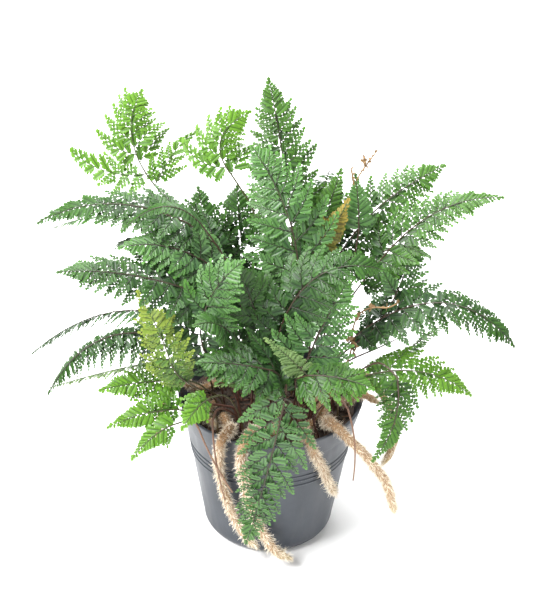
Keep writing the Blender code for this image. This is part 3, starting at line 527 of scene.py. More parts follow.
def smooth_path(stops, count):
    """Evenly spaced points on a smooth curve through the stops (centripetal Catmull-Rom)."""
    stops = np.asarray(stops, float)
    padded = np.vstack([2 * stops[0] - stops[1], stops, 2 * stops[-1] - stops[-2]])
    fine = []
    for before, start, end, after in zip(padded, padded[1:], padded[2:], padded[3:]):
        for step in np.linspace(0.0, 1.0, 12, endpoint=False):
            fine.append(0.5 * (2 * start + (end - before) * step
                               + (2 * before - 5 * start + 4 * end - after) * step ** 2
                               + (3 * start - before - 3 * end + after) * step ** 3))
    fine.append(stops[-1])
    return resample(np.array(fine), count)


def resample(points, count):
    """The same path with evenly spaced points."""
    run = np.concatenate([[0.0], np.cumsum(np.linalg.norm(np.diff(points, axis=0), axis=1))])
    wanted = np.linspace(0.0, run[-1], count)
    return np.stack([np.interp(wanted, run, points[:, axis]) for axis in range(3)], axis=1)


def rhizome_path(radius, stops):
    """A rhizome's middle line, from its stops round the pot's wall."""
    points = []
    for bearing, outside, share in stops:
        level = 1.0 if share in (RESTING, CROSSING) else min(share, 1.0)
        reach = envelope_radius(level * POT_HEIGHT) + outside * radius
        if share == RESTING:
            height = compost_height(reach) + radius + RHIZOME_LIFT
        elif share == CROSSING:
            height = POT_HEIGHT + radius * RIM_CLEARANCE
        else:
            height = share * POT_HEIGHT
        turn = math.radians(bearing)
        points.append((reach * math.cos(turn), reach * math.sin(turn), height))
    return clear_of_pot(smooth_path(points, RHIZOME_STATIONS), radius)


def pot_shortfall(point, room):
    """How much farther out a point beside the pot must lie to be this far from its lip and wall."""
    reach = math.hypot(point[0], point[1])
    above = max(point[2] - POT_HEIGHT, 0.0)
    below = max(POT_HEIGHT - point[2], 0.0)
    if above >= room or reach < wall_radius(min(point[2], POT_HEIGHT)):
        return 0.0
    outer = envelope_radius(POT_HEIGHT - below)
    if below < COLLAR_DEPTH:
        outer = max(outer, RIM_RADIUS - COLLAR_FLARE * below / COLLAR_DEPTH)
    return max(outer + math.sqrt(room ** 2 - above ** 2) - reach, 0.0)


def clear_of_pot(path, radius):
    """The same path, moved out beside the pot until a tube round it misses the lip and the wall."""
    path = path.copy()
    room = radius + RHIZOME_LIFT
    for _ in range(CLEARING_ROUNDS):
        middles = (path[:-1] + path[1:]) / 2
        short = np.array([pot_shortfall(point, room) for point in path])
        between = np.array([pot_shortfall(point, room) for point in middles])
        short[:-1] = np.maximum(short[:-1], between)
        short[1:] = np.maximum(short[1:], between)
        reach = np.hypot(path[:, 0], path[:, 1])
        outside = reach > RIM_RADIUS - COLLAR_FLARE
        path[outside, :2] *= (1 + short / reach)[outside, None]
    return path


def frond_path(foot, base, middle, tip):
    """A frond's line: the stipe rises from the compost and runs on into the arching rachis."""
    bend = 2 * middle - (base + tip) / 2
    leave = unit(bend - base)
    rise = np.linalg.norm(base - foot)
    start_handle = foot + UP * rise * STIPE_RISE
    end_handle = base - leave * rise * STIPE_LEAVE
    stipe = []
    for step in np.linspace(0.0, 1.0, CURVE_STEPS):
        rest = 1 - step
        stipe.append(foot * rest ** 3 + 3 * start_handle * rest ** 2 * step
                     + 3 * end_handle * rest * step ** 2 + base * step ** 3)
    rachis = []
    for step in np.linspace(0.0, 1.0, CURVE_STEPS):
        rest = 1 - step
        rachis.append(base * rest ** 2 + 2 * bend * rest * step + tip * step ** 2)
    return np.vstack([resample(np.array(stipe), STIPE_STATIONS)[:-1],
                      resample(np.array(rachis), RACHIS_STATIONS)])


def closest_between(first, first_run, second, second_run):
    """Shares along two sets of segments where each pair comes nearest."""
    offset = first - second
    a = np.einsum("ij,ij->i", first_run, first_run)
    b = np.einsum("ij,ij->i", first_run, second_run)
    c = np.einsum("ij,ij->i", second_run, second_run)
    d = np.einsum("ij,ij->i", first_run, offset)
    e = np.einsum("ij,ij->i", second_run, offset)
    spread = np.maximum(a * c - b * b, 1e-16)
    along_first = np.clip((b * e - c * d) / spread, 0.0, 1.0)
    along_second = np.clip((b * along_first + e) / c, 0.0, 1.0)
    along_first = np.clip((b * along_second - d) / a, 0.0, 1.0)
    return along_first, along_second


def above_compost(points):
    """The points, with none in the pot lower than a stem can lie on the compost."""
    reach = np.hypot(points[:, 0], points[:, 1])
    inside = (reach < RIM_RADIUS - WALL) & (points[:, 2] < POT_HEIGHT)
    least = np.array([foot_point(point / RIM_RADIUS)[2] for point in points])
    return np.column_stack([points[:, :2], np.where(inside, np.maximum(points[:, 2], least), points[:, 2])])


def spread_stems(stems, fixed):
    """Bend the stems gently past each other and past the fixed paths, which are (points, room)."""
    paths = [stem.copy() for stem in stems]
    lines = [(path, STEM_SPACING / 2) for path in paths] + fixed
    starts = np.cumsum([0] + [len(line) for line, _ in lines])
    owner = np.concatenate([[index] * (len(line) - 1) for index, (line, _) in enumerate(lines)])
    first_point = np.concatenate([np.arange(len(line) - 1) + start
                                  for (line, _), start in zip(lines, starts)])
    room = np.concatenate([[space] * (len(line) - 1) for line, space in lines])
    points = np.vstack([line for line, _ in lines])
    for _ in range(SPREAD_ROUNDS):
        begin = points[first_point]
        run = points[first_point + 1] - begin
        middle = begin + run / 2
        reach = np.linalg.norm(run, axis=1) / 2 + room
        apart = np.linalg.norm(middle[:, None] - middle[None], axis=2)
        near = (apart < reach[:, None] + reach[None]) & (owner[:, None] < owner[None])
        one, two = np.nonzero(near & (owner[:, None] < len(paths)))
        share_one, share_two = closest_between(begin[one], run[one], begin[two], run[two])
        between = begin[one] + run[one] * share_one[:, None] - begin[two] - run[two] * share_two[:, None]
        distance = np.maximum(np.linalg.norm(between, axis=1), 1e-6)
        short = room[one] + room[two] - distance
        tight = short > SETTLED
        if not tight.any():
            break
        push = between / distance[:, None] * np.maximum(short, 0.0)[:, None] * SPREAD_PUSH
        move = np.zeros_like(points)
        for rows, shares, sign in ((one, share_one, 1.0), (two, share_two, -1.0)):
            np.add.at(move, first_point[rows], sign * push * (1 - shares)[:, None])
            np.add.at(move, first_point[rows] + 1, sign * push * shares[:, None])
        move = np.clip(move, -STEM_SPACING / 2, STEM_SPACING / 2)
        for index, path in enumerate(paths):
            span = slice(starts[index], starts[index + 1])
            part = move[span]
            eased = part.copy()
            eased[1:-1] = (part[:-2] + 2 * part[1:-1] + part[2:]) / 3
            eased[:, 2] *= np.minimum(np.arange(len(part)), 1)
            points[span] = above_compost(points[span] + eased)
    return [points[starts[index]:starts[index + 1]] for index in range(len(paths))]


def stem_frames(path, face, stipe_count):
    """Sideways and upward directions at each station; the upward one turns to the blade's face."""
    along = np.gradient(path, axis=0)
    sideways, upward = [], []
    for index, run in enumerate(along):
        share = min(index / stipe_count, 1.0)
        look = (1 - share) * OUTWARD_FACE + share * unit(face)
        run = unit(run)
        up = unit(look - run * (look @ run))
        upward.append(up)
        sideways.append(np.cross(run, up))
    return np.array(sideways), np.array(upward)


# ---------------------------------------------------------------- materials
class Nodes:
    """A material's node tree, with short ways to add and join nodes."""

    def __init__(self, name):
        self.material = bpy.data.materials.new(name)
        self.material.use_nodes = True
        self.tree = self.material.node_tree
        self.shader = self.tree.nodes["Principled BSDF"]

    def add(self, kind, inputs=None, **settings):
        """A node with its settings; each input is a value or another node's output."""
        node = self.tree.nodes.new(kind)
        for key, value in settings.items():
            setattr(node, key, value)
        for key, value in (inputs or {}).items():
            self.put(node.inputs[key], value)
        return node

    def put(self, socket, value):
        """Set a socket, or link it to an output."""
        if isinstance(value, bpy.types.NodeSocket):
            self.tree.links.new(value, socket)
        else:
            socket.default_value = value

    def noise(self, scale, detail=4.0, roughness=0.55, vector=None):
        """Noise over the object's own coordinates, as one number."""
        place = vector or self.coordinates()
        node = self.add("ShaderNodeTexNoise", {"Vector": place, "Scale": scale, "Detail": detail,
                                               "Roughness": roughness})
        return node.outputs["Fac"]

    def coordinates(self, stretch=None):
        """Object coordinates, stretched if wanted."""
        place = self.add("ShaderNodeTexCoord").outputs["Object"]
        if stretch is None:
            return place
        return self.add("ShaderNodeMapping", {"Vector": place, "Scale": stretch}).outputs["Vector"]

    def blend(self, share, first, second, mode="MIX"):
        """A mix of two colours."""
        node = self.add("ShaderNodeMix", data_type="RGBA", blend_type=mode)
        for index, value in ((0, share), (6, first), (7, second)):
            if isinstance(value, tuple) and len(value) == 3:
                value = (*value, 1.0)
            self.put(node.inputs[index], value)
        return node.outputs[2]

    def spread(self, value, low, high, new_low=0.0, new_high=1.0):
        """A number moved from one range to another, and held there."""
        node = self.add("ShaderNodeMapRange", {"Value": value, "From Min": low, "From Max": high,
                                               "To Min": new_low, "To Max": new_high})
        return node.outputs["Result"]

    def bump(self, height, strength, distance=0.0002):
        """Raise the shader's surface by a height."""
        node = self.add("ShaderNodeBump", {"Height": height, "Strength": strength,
                                           "Distance": distance})
        self.put(self.shader.inputs["Normal"], node.outputs["Normal"])

    def finish(self, colour, roughness, others=None):
        """The material, with its shader's colour, roughness and other inputs set."""
        for key, value in {"Base Color": colour, "Roughness": roughness, **(others or {})}.items():
            self.put(self.shader.inputs[key], value)
        return self.material

    def tone(self):
        """The three numbers of the mesh's tone: lightness, youth and vein."""
        place = self.add("ShaderNodeAttribute", attribute_name="tone")
        parts = self.add("ShaderNodeSeparateColor", {"Color": place.outputs["Color"]})
        return parts.outputs["Red"], parts.outputs["Green"], parts.outputs["Blue"]


def leaf_material(name, shade, light, young, vein, roughness, sheen):
    """A fern blade: leathery cells, lighter young tips, dark veins and a faint waxy bloom; the tone's
    lightness also paints shade into the sinuses, light onto the lobes and, in the grey-blue look, a sheen.
    """
    nodes = Nodes(name)
    lightness, youth, veined = nodes.tone()
    mottle = nodes.noise(420.0, 3.0)
    # Lightness varies at random from leaflet to leaflet. It also carries painted shade in the sinuses,
    # painted light on the lobes and, in the grey-blue look, a painted sheen.
    colour = nodes.blend(lightness, shade, light)
    colour = nodes.blend(youth, colour, young)
    colour = nodes.blend(nodes.spread(mottle, 0.35, 0.75, 0.0, 0.30), colour, shade, "MULTIPLY")
    colour = nodes.blend(nodes.spread(mottle, 0.30, 0.70, 0.0, 0.22), colour, light)
    colour = nodes.blend(nodes.spread(veined, 0.50, 0.95, 0.0, 0.92), colour, vein)
    fine = nodes.noise(2600.0, 2.0)
    nodes.bump(fine, 0.35, 0.00012)
    return nodes.finish(colour, nodes.spread(fine, 0.3, 0.7, roughness - 0.07, roughness + 0.08),
                        {"Specular IOR Level": 0.32, "Sheen Weight": sheen, "Sheen Roughness": 0.45,
                         "Sheen Tint": (0.80, 0.92, 0.95, 1.0)})


def stem_material(name, foot, top, roughness=0.42):
    """A wiry stipe: one colour at the compost that turns to another up the rachis."""
    nodes = Nodes(name)
    lightness, height, _ = nodes.tone()
    streaks = nodes.noise(900.0, 4.0, vector=nodes.coordinates((1.0, 1.0, 0.12)))
    colour = nodes.blend(height, foot, top)
    dark = tuple(0.45 * part for part in foot)
    colour = nodes.blend(nodes.spread(streaks, 0.40, 0.72, 0.0, 0.65), colour, dark)
    colour = nodes.blend(nodes.spread(lightness, 0.3, 1.0, 0.0, 0.30), colour, (0.42, 0.34, 0.20))
    nodes.bump(streaks, 0.4, 0.0002)
    return nodes.finish(colour, nodes.spread(streaks, 0.3, 0.7, roughness - 0.08, roughness + 0.14))


def pot_material():
    """Moulded dark slate plastic: satin, faintly scuffed and dusted with dried water marks."""
    nodes = Nodes("slate_plastic")
    cloud = nodes.noise(26.0, 5.0, 0.6)
    specks = nodes.noise(1900.0, 2.0)
    runs = nodes.noise(120.0, 3.0, vector=nodes.coordinates((1.0, 1.0, 0.09)))
    colour = nodes.blend(nodes.spread(cloud, 0.35, 0.70), (0.026, 0.032, 0.042),
                         (0.041, 0.049, 0.062))
    colour = nodes.blend(nodes.spread(runs, 0.56, 0.80, 0.0, 0.22), colour, (0.105, 0.110, 0.115))
    colour = nodes.blend(nodes.spread(specks, 0.66, 0.80, 0.0, 0.30), colour, (0.15, 0.15, 0.15))
    nodes.bump(nodes.noise(3200.0, 2.0), 0.22, 0.00010)
    return nodes.finish(colour, nodes.spread(runs, 0.30, 0.75, 0.33, 0.50), {"Specular IOR Level": 0.5})


def compost_material():
    """Damp peat and bark, from near black to red brown."""
    nodes = Nodes("peat_compost")
    lightness, redness, _ = nodes.tone()
    clods = nodes.noise(210.0, 8.0, 0.68)
    grit = nodes.noise(1500.0, 4.0, 0.6)
    colour = nodes.blend(nodes.spread(clods, 0.32, 0.72), (0.010, 0.007, 0.005),
                         (0.060, 0.036, 0.021))
    colour = nodes.blend(nodes.spread(grit, 0.60, 0.78, 0.0, 0.7), colour, (0.15, 0.095, 0.052))
    colour = nodes.blend(redness, colour, (0.105, 0.040, 0.020))
    colour = nodes.blend(lightness, colour, (0.190, 0.120, 0.065))
    nodes.bump(clods, 1.0, 0.0012)
    return nodes.finish(colour, nodes.spread(clods, 0.3, 0.7, 0.78, 0.98))


def rhizome_core_material():
    """The woody core under the fur: tan scales over a brown stem, green where it is young."""
    nodes = Nodes("rhizome_core")
    lightness, youth, _ = nodes.tone()
    scales = nodes.add("ShaderNodeTexVoronoi", {"Vector": nodes.coordinates((1.0, 1.0, 0.45)),
                                                "Scale": 620.0}).outputs["Distance"]
    fibres = nodes.noise(1300.0, 4.0)
    colour = nodes.blend(nodes.spread(scales, 0.05, 0.75), (0.085, 0.040, 0.018),
                         (0.300, 0.170, 0.080))
    colour = nodes.blend(nodes.spread(fibres, 0.35, 0.70, 0.0, 0.6), colour, (0.420, 0.270, 0.145))
    colour = nodes.blend(lightness, colour, (0.560, 0.420, 0.260))
    colour = nodes.blend(youth, colour, (0.180, 0.290, 0.090))
    nodes.bump(scales, 0.8, 0.0006)
    return nodes.finish(colour, nodes.spread(scales, 0.0, 0.7, 0.72, 0.95))


def fur_material():
    """Fine hair scales, from rust to straw, paler at their ends."""
    nodes = Nodes("rhizome_fur")
    lightness, outward, _ = nodes.tone()
    patches = nodes.noise(160.0, 3.0)
    colour = nodes.blend(nodes.spread(patches, 0.35, 0.70), (0.400, 0.245, 0.125),
                         (0.640, 0.490, 0.320))
    colour = nodes.blend(lightness, colour, (0.880, 0.800, 0.640))
    colour = nodes.blend(outward, colour, (0.980, 0.955, 0.870))
    return nodes.finish(colour, 0.62, {"Sheen Weight": 0.30, "Sheen Roughness": 0.40})


# Leaf looks: shade, light, young tip and vein colours, roughness, bloom and the record's slot.
LEAF_LOOKS = {
    "dark": ((0.006, 0.025, 0.005), (0.028, 0.080, 0.018), (0.056, 0.165, 0.012),
             (0.004, 0.010, 0.004), 0.42, 0.05, "leaf_dark"),
    "mid": ((0.010, 0.040, 0.006), (0.046, 0.122, 0.021), (0.095, 0.245, 0.015),
            (0.005, 0.013, 0.005), 0.42, 0.05, "leaf_mid"),
    # The light colour of this look is a painted sheen: a grey-blue that stands for the gloss on waxy
    # leaflets, taken by the lighter ones.
    "blue": ((0.009, 0.044, 0.008), (0.086, 0.168, 0.068), (0.085, 0.250, 0.018),
             (0.004, 0.011, 0.005), 0.36, 0.08, "leaf_sheen"),
    "bright": ((0.018, 0.080, 0.005), (0.075, 0.200, 0.016), (0.160, 0.340, 0.020),
               (0.008, 0.022, 0.006), 0.42, 0.04, "leaf_young"),
    "yellow": ((0.034, 0.105, 0.010), (0.095, 0.210, 0.026), (0.360, 0.370, 0.045),
               (0.024, 0.036, 0.010), 0.44, 0.06, "leaf_yellowing"),
    "amber": ((0.026, 0.075, 0.010), (0.085, 0.150, 0.022), (0.400, 0.240, 0.034),
              (0.026, 0.026, 0.008), 0.44, 0.06, "leaf_ageing"),
    "pale": ((0.070, 0.150, 0.045), (0.180, 0.300, 0.110), (0.270, 0.400, 0.120),
             (0.040, 0.064, 0.022), 0.48, 0.08, "leaf_underside"),
}
# How far along to their young or aged colour the whole of these fronds is.  Their stipes are green.
LEAF_AGES = {"bright": 0.12, "yellow": 0.02, "amber": 0.12, "pale": 0.15}


# ---------------------------------------------------------------- the pot
def ridge(height):
    """The outline of one thin ridge round the wall, from its top edge to its lower edge."""
    half = RIDGE_WIDTH / 2
    bulge = []
    for turn in np.linspace(0.0, math.pi, 6):
        step = half * math.cos(turn)
        bulge.append((wall_radius(height + step) + RIDGE_STEP * 0.7 * math.sin(turn), height + step))
    return bulge


def pot_outline():
    """Half section of the pot: up its inside, over the lip, down the outside and under the base."""
    collar = POT_HEIGHT - COLLAR_DEPTH
    band = collar - BAND_DEPTH
    inner_corner = FLOOR + BASE_ROUNDING
    neck = RIM_RADIUS - COLLAR_FLARE
    inside = [(0.0, FLOOR), (wall_radius(0) - BASE_ROUNDING, FLOOR),
              (wall_radius(inner_corner) - WALL, inner_corner),
              (wall_radius(collar) - WALL, collar), (RIM_RADIUS - 2 * LIP, POT_HEIGHT - LIP)]
    lip = [(RIM_RADIUS - LIP * (1 - math.cos(turn)),
            POT_HEIGHT - LIP * 0.6 + LIP * 0.6 * math.sin(turn))
           for turn in np.linspace(math.pi * 0.85, 0.0, 8)]
    outside = [(RIM_RADIUS - COLLAR_FLARE * 0.10, POT_HEIGHT - COLLAR_DEPTH * 0.14),
               (RIM_RADIUS - COLLAR_FLARE * 0.55, POT_HEIGHT - COLLAR_DEPTH * 0.60),
               (neck + 0.0003, collar + 0.0012), (neck, collar + 0.0003),
               (neck - 0.0006, collar - 0.0006),
               (wall_radius(band) + BAND_STEP, band + 0.0014),
               (wall_radius(band) + BAND_STEP * 0.75, band + 0.0004),
               (wall_radius(band) + BAND_STEP * 0.20, band - 0.0005), (wall_radius(band), band - 0.0012)]
    for step in range(RIDGE_COUNT):
        outside += ridge(band - RIDGE_PITCH * (step + 0.9))
    centre = wall_radius(BASE_ROUNDING) - BASE_ROUNDING
    rounding = [(centre + BASE_ROUNDING * math.cos(turn), BASE_ROUNDING * (1 - math.sin(turn)))
                for turn in np.linspace(0.0, math.pi / 2, 14)]
    return inside + lip + outside + rounding + [(0.0, 0.0)]


def turned(name, outline, steps):
    """A finished solid of revolution from an outline that starts and ends on the axis."""
    mesh = bpy.data.meshes.new(name)
    edges = [(i, i + 1) for i in range(len(outline) - 1)]
    mesh.from_pydata([(radius, 0.0, height) for radius, height in outline], edges, [])
    piece = new_object(name, mesh)
    screw = piece.modifiers.new("Turn", "SCREW")
    screw.steps = steps
    screw.render_steps = steps
    screw.use_merge_vertices = True
    screw.merge_threshold = 0.00002
    return piece


def apply_modifiers(piece):
    """Make the piece's shape its own mesh."""
    graph = bpy.context.evaluated_depsgraph_get()
    mesh = bpy.data.meshes.new_from_object(piece.evaluated_get(graph))
    piece.modifiers.clear()
    piece.data = mesh
    return mesh


def make_pot():
    """The nursery pot, with its drainage holes."""
    pot = turned("pot_shell", pot_outline(), POT_STEPS)
    bits = bmesh.new()
    for turn in np.linspace(0.0, math.tau, DRAIN_COUNT, endpoint=False):
        drill = bmesh.ops.create_cone(bits, cap_ends=True, segments=32, radius1=DRAIN_RADIUS,
                                      radius2=DRAIN_RADIUS, depth=4 * FLOOR)
        place = Vector((DRAIN_RING * math.cos(turn), DRAIN_RING * math.sin(turn), 0.0))
        bmesh.ops.translate(bits, verts=drill["verts"], vec=place)
    mesh = bpy.data.meshes.new("drain_cutter")
    bits.to_mesh(mesh)
    bits.free()
    cutter = new_object("drain_cutter", mesh)
    cut = pot.modifiers.new("Drainage", "BOOLEAN")
    cut.operation = "DIFFERENCE"
    cut.object = cutter
    mesh = apply_modifiers(pot)
    bpy.data.objects.remove(cutter, do_unlink=True)
    mesh.materials.clear()
    mesh.materials.append(pot_material())
    mesh.polygons.foreach_set("use_smooth", [True] * len(mesh.polygons))
    mesh.set_sharp_from_angle(angle=math.radians(38))
    settle(pot, "pot_plastic", "pot")


# ---------------------------------------------------------------- the compost
def make_compost(random):
    """The compost's crumbly dome and the body under it, then loose crumbs, bark and dead stipes."""
    material = compost_material()
    edge = wall_radius(POT_HEIGHT - COMPOST_DEPTH) - WALL - 2 * GAP
    make_compost_bed(material, edge, random)
    crumbs = Cloth()
    for number in range(CRUMBS):
        radius = edge * 0.985 * math.sqrt(random.random())
        turn = random.random() * math.tau
        size = CRUMB_LEAST + CRUMB_RANGE * random.random() ** 2.2
        centre = np.array([radius * math.cos(turn), radius * math.sin(turn),
                           compost_height(radius) + size * 0.25])
        add_crumb(crumbs, centre, size, random, number)
    for number in range(STRAWS):
        add_straw(crumbs, edge, random, number)
    settle(crumbs.make("compost_crumbs", [material], smooth=False), "compost")


def make_compost_bed(material, edge, random):
    """One closed body: a rough dome in rings, then the sides and the underside."""
    turns = [math.tau * spoke / COMPOST_SPOKES for spoke in range(COMPOST_SPOKES)]
    points = [(0.0, 0.0, compost_height(0.0))]
    bumps = random.normal(size=(9, 4))
    for ring in range(1, COMPOST_RINGS + 1):
        radius = edge * (ring / COMPOST_RINGS) ** 0.9
        calm = 0.0 if ring == COMPOST_RINGS else 1.0
        for turn in turns:
            x, y = radius * math.cos(turn), radius * math.sin(turn)
            rough = sum(math.sin(b[0] * CLOD_RATE * x + b[1] * CLOD_RATE * y + b[2] * 9) * CLOD_HEIGHT
                        for b in bumps)
            rough += random.normal() * GRAIN_HEIGHT
            points.append((x, y, compost_height(radius) + calm * rough))
    corner = FLOOR + BASE_ROUNDING
    for radius, height in ((wall_radius(corner) - WALL - 2 * GAP, corner),
                           (wall_radius(0) - BASE_ROUNDING * 1.1, FLOOR + GAP)):
        points += [(radius * math.cos(turn), radius * math.sin(turn), height) for turn in turns]
    faces = [[0, 1 + spoke, 1 + (spoke + 1) % COMPOST_SPOKES] for spoke in range(COMPOST_SPOKES)]
    for ring in range(COMPOST_RINGS + 1):
        low = 1 + ring * COMPOST_SPOKES
        high = low + COMPOST_SPOKES
        for spoke in range(COMPOST_SPOKES):
            after = (spoke + 1) % COMPOST_SPOKES
            faces.append([low + spoke, high + spoke, high + after, low + after])
    faces.append([len(points) - 1 - spoke for spoke in range(COMPOST_SPOKES)])
    bed = Cloth()
    points = np.array(points)
    bed.add(points, faces, points[:, :2] / (2.1 * edge) + 0.5, (0.0, 0.0, 0.0))
    settle(bed.make("compost_bed", [material]), "compost", "compost")


def add_crumb(cloth, centre, size, random, number):
    """One clod or chip of bark: an octahedron with its corners moved."""
    corners = np.array([(1, 0, 0), (-1, 0, 0), (0, 1, 0), (0, -1, 0), (0, 0, 1), (0, 0, -1)], float)
    corners *= size * (0.6 + 0.7 * random.random((6, 1)))
    stretch = np.array([1.0, 0.5 + random.random(), 0.4 + 0.5 * random.random()])
    turn = Matrix.Rotation(random.random() * math.tau, 3, "Z") @ Matrix.Rotation(
        random.normal() * 0.5, 3, "X")
    points = centre + (corners * stretch) @ np.array(turn).T
    faces = [[0, 2, 4], [2, 1, 4], [1, 3, 4], [3, 0, 4], [2, 0, 5], [1, 2, 5], [3, 1, 5], [0, 3, 5]]
    cell = np.array([(number % 40) / 40, (number // 40) / 40])
    flats = cell + np.array([(0.2, 0.2), (0.6, 0.2), (0.2, 0.6), (0.6, 0.6), (0.4, 0.3), (0.5, 0.5)]) / 40
    tone = (max(0.0, random.random() - 0.72) * 1.6, max(0.0, random.random() - 0.6) * 1.6, 0.0)
    cloth.add(points, faces, flats, tone)


def add_straw(cloth, edge, random, number):
    """A shed stipe or root lying on the compost."""
    radius = edge * 0.93 * math.sqrt(random.random())
    turn = random.random() * math.tau
    heading = random.random() * math.tau
    length = STRAW_LEAST + STRAW_RANGE * random.random()
    start = np.array([radius * math.cos(turn), radius * math.sin(turn)])
    path = []
    for step in np.linspace(-0.5, 0.5, STRAW_RINGS):
        bend = heading + step * random.normal() * 0.5
        x, y = start + length * step * np.array([math.cos(bend), math.sin(bend)])
        reach = math.hypot(x, y)
        inside = min(reach, edge * 0.97)
        path.append((x * inside / max(reach, 1e-6), y * inside / max(reach, 1e-6),
                     compost_height(inside) + 0.0009 + 0.0016 * random.random() * (step + 0.5)))
    flats = np.column_stack([np.full(STRAW_RINGS, 0.02 + 0.96 * number / STRAWS),
                             np.linspace(0.955, 0.995, STRAW_RINGS)])
    tone = (0.25 * random.random(), 0.5 + 0.5 * random.random(), 0.0)
    radii = np.full(STRAW_RINGS, STRAW_RADIUS + 0.0003 * random.random())
    add_tube(cloth, path, radii, 5, flats, [tone] * STRAW_RINGS, closed=True)


# ---------------------------------------------------------------- the rhizomes
def make_rhizomes(routes, random):
    """Each rhizome: a knobbly core, its coat of fine hair scales and its pale tip."""
    core_material, hair_material = rhizome_core_material(), fur_material()
    for name, radius, route in routes:
        cloth = Cloth()
        length = np.linalg.norm(np.diff(route, axis=0), axis=1).sum()
        path = smooth_path(route, max(24, int(length / RHIZOME_STEP)))
        shares = np.linspace(0.0, 1.0, len(path))
        swell = 1.0 + 0.05 * np.sin(shares * length * KNOB_RATE + random.random() * 6)
        swell += 0.035 * np.sin(shares * length * SCALE_RATE + random.random() * 6)
        tip = np.sqrt(np.clip((1 - shares) * length / (radius * 1.7), 0.0, 1.0))
        radii = (radius - FUR_DEPTH) * swell * np.clip(tip, 0.05, 1.0) * (1.0 - 0.10 * shares)
        young = np.clip((shares - 0.90) / 0.10, 0.0, 1.0)
        tones = np.column_stack([0.25 * shares + 0.5 * young, 0.25 * young, np.zeros(len(path))])
        rings, normals, along = tube_points(path, radii, RHIZOME_SIDES)
        turns = np.tile(np.arange(RHIZOME_SIDES) / RHIZOME_SIDES, len(path))
        places = np.column_stack([0.02 + 0.40 * np.abs(2 * turns - 1),
                                  np.repeat(shares * 0.98 + 0.01, RHIZOME_SIDES)])
        cloth.add(rings.reshape(-1, 3), tube_faces(len(path), RHIZOME_SIDES, True), places,
                  np.repeat(tones, RHIZOME_SIDES, axis=0), 0)
        add_fur(cloth, rings, normals, along, length, random)
        piece = cloth.make(name + "_furry", [core_material, hair_material])
        settle(piece, "rhizome_fur", name)


def add_fur(cloth, rings, normals, along, length, random):
    """Hair scales that lean towards the growing tip; each is a curved tapering blade."""
    stations, sides = rings.shape[:2]
    count = int(length * HAIRS_PER_METRE)
    rows = random.random(count) * (stations - 1.001)
    row = rows.astype(int)
    side = random.integers(0, sides, count)
    share = (rows - row)[:, None]
    root = rings[row, side] * (1 - share) + rings[row + 1, side] * share
    out = normals[row, side]
    ahead = along[row]
    across = np.cross(ahead, out) + 0.35 * random.normal(size=(count, 3))
    across /= np.linalg.norm(across, axis=1)[:, None]
    whisker = random.random((count, 1)) < WHISKER_SHARE
    size = np.where(whisker, WHISKER_LENGTH, HAIR_LENGTH) * (0.45 + 0.75 * random.random((count, 1)))
    first = out + ahead * (0.30 + 0.40 * random.random((count, 1)))
    first += across * 0.55 * random.normal(size=(count, 1))
    first /= np.linalg.norm(first, axis=1)[:, None]
    second = first + ahead * 0.25 + 0.55 * random.normal(size=(count, 3))
    second /= np.linalg.norm(second, axis=1)[:, None]
    middle = root + first * size * 0.5
    end = middle + second * size * 0.5
    root = root - out * HAIR_ROOT
    width = np.where(whisker, WHISKER_WIDTH, HAIR_WIDTH) * (0.7 + 0.7 * random.random((count, 1)))
    points = np.stack([root - across * width, root + across * width, middle + across * width * 0.7,
                       middle - across * width * 0.7, end], axis=1).reshape(-1, 3)
    starts = np.arange(count) * 5
    faces = [[s, s + 1, s + 2, s + 3] for s in starts] + [[s + 3, s + 2, s + 4] for s in starts]
    light = np.clip(random.random(count) * 0.7 + 0.35 * (rows / stations) ** 3 + 0.4 * whisker[:, 0],
                    0.0, 1.0)
    outward = np.tile([0.0, 0.0, 0.35, 0.35, 0.8], count)
    tones = np.column_stack([np.repeat(light, 5), outward * np.repeat(random.random(count), 5),
                             np.zeros(count * 5)])
    cell = np.column_stack([0.46 + 0.53 * random.random(count), 0.01 + 0.97 * rows / stations])
    shape = np.array([(0, 0), (1, 0), (0.85, 0.5), (0.15, 0.5), (0.5, 1.0)]) * HAIR_PATCH
    flats = (cell[:, None] + shape[None]).reshape(-1, 2)
    cloth.add(points, faces, flats, tones, 1)


# ---------------------------------------------------------------- the fronds
class Bent:
    """Carries flat places on a frond (sideways, along, up) to where its stem runs in space."""

    def __init__(self, path, face):
        dense = smooth_path(path, STEM_SAMPLES)
        run = np.concatenate([[0.0], np.cumsum(np.linalg.norm(np.diff(dense, axis=0), axis=1))])
        coarse = np.linalg.norm(np.diff(path, axis=0), axis=1)
        self.stipe = coarse[:STIPE_STATIONS - 1].sum() * run[-1] / coarse.sum()
        self.length = run[-1] - self.stipe
        sideways, upward = stem_frames(dense, np.array(face, float),
                                       max(1, int(np.searchsorted(run, self.stipe))))
        ahead = unit(dense[-1] - dense[-3])
        self.run = np.append(run, run[-1] + BEYOND_TIP)
        self.table = np.hstack([np.vstack([dense, dense[-1] + ahead * BEYOND_TIP]),
                                np.vstack([sideways, sideways[-1]]), np.vstack([upward, upward[-1]])])

    def place(self, flat):
        """Points in space for an array of flat places, measured from where the blade begins."""
        flat = np.atleast_2d(flat)
        along = flat[:, 1] + self.stipe
        row = np.column_stack([np.interp(along, self.run, self.table[:, axis]) for axis in range(9)])
        return row[:, 0:3] + row[:, 3:6] * flat[:, 0:1] + row[:, 6:9] * flat[:, 2:3]

    def down(self, run):
        """The way down in flat places, at a run from where the blade begins."""
        row = [np.interp(run + self.stipe, self.run, self.table[:, axis]) for axis in range(3, 9)]
        sideways, upward = np.array(row[:3]), np.array(row[3:])
        return -np.array([sideways[2], np.cross(upward, sideways)[2], upward[2]])

    def stem(self, start, end, count):
        """Points on the stem between two runs, measured from where the blade begins."""
        along = np.linspace(start, end, count)
        return self.place(np.column_stack([np.zeros(count), along, np.zeros(count)]))


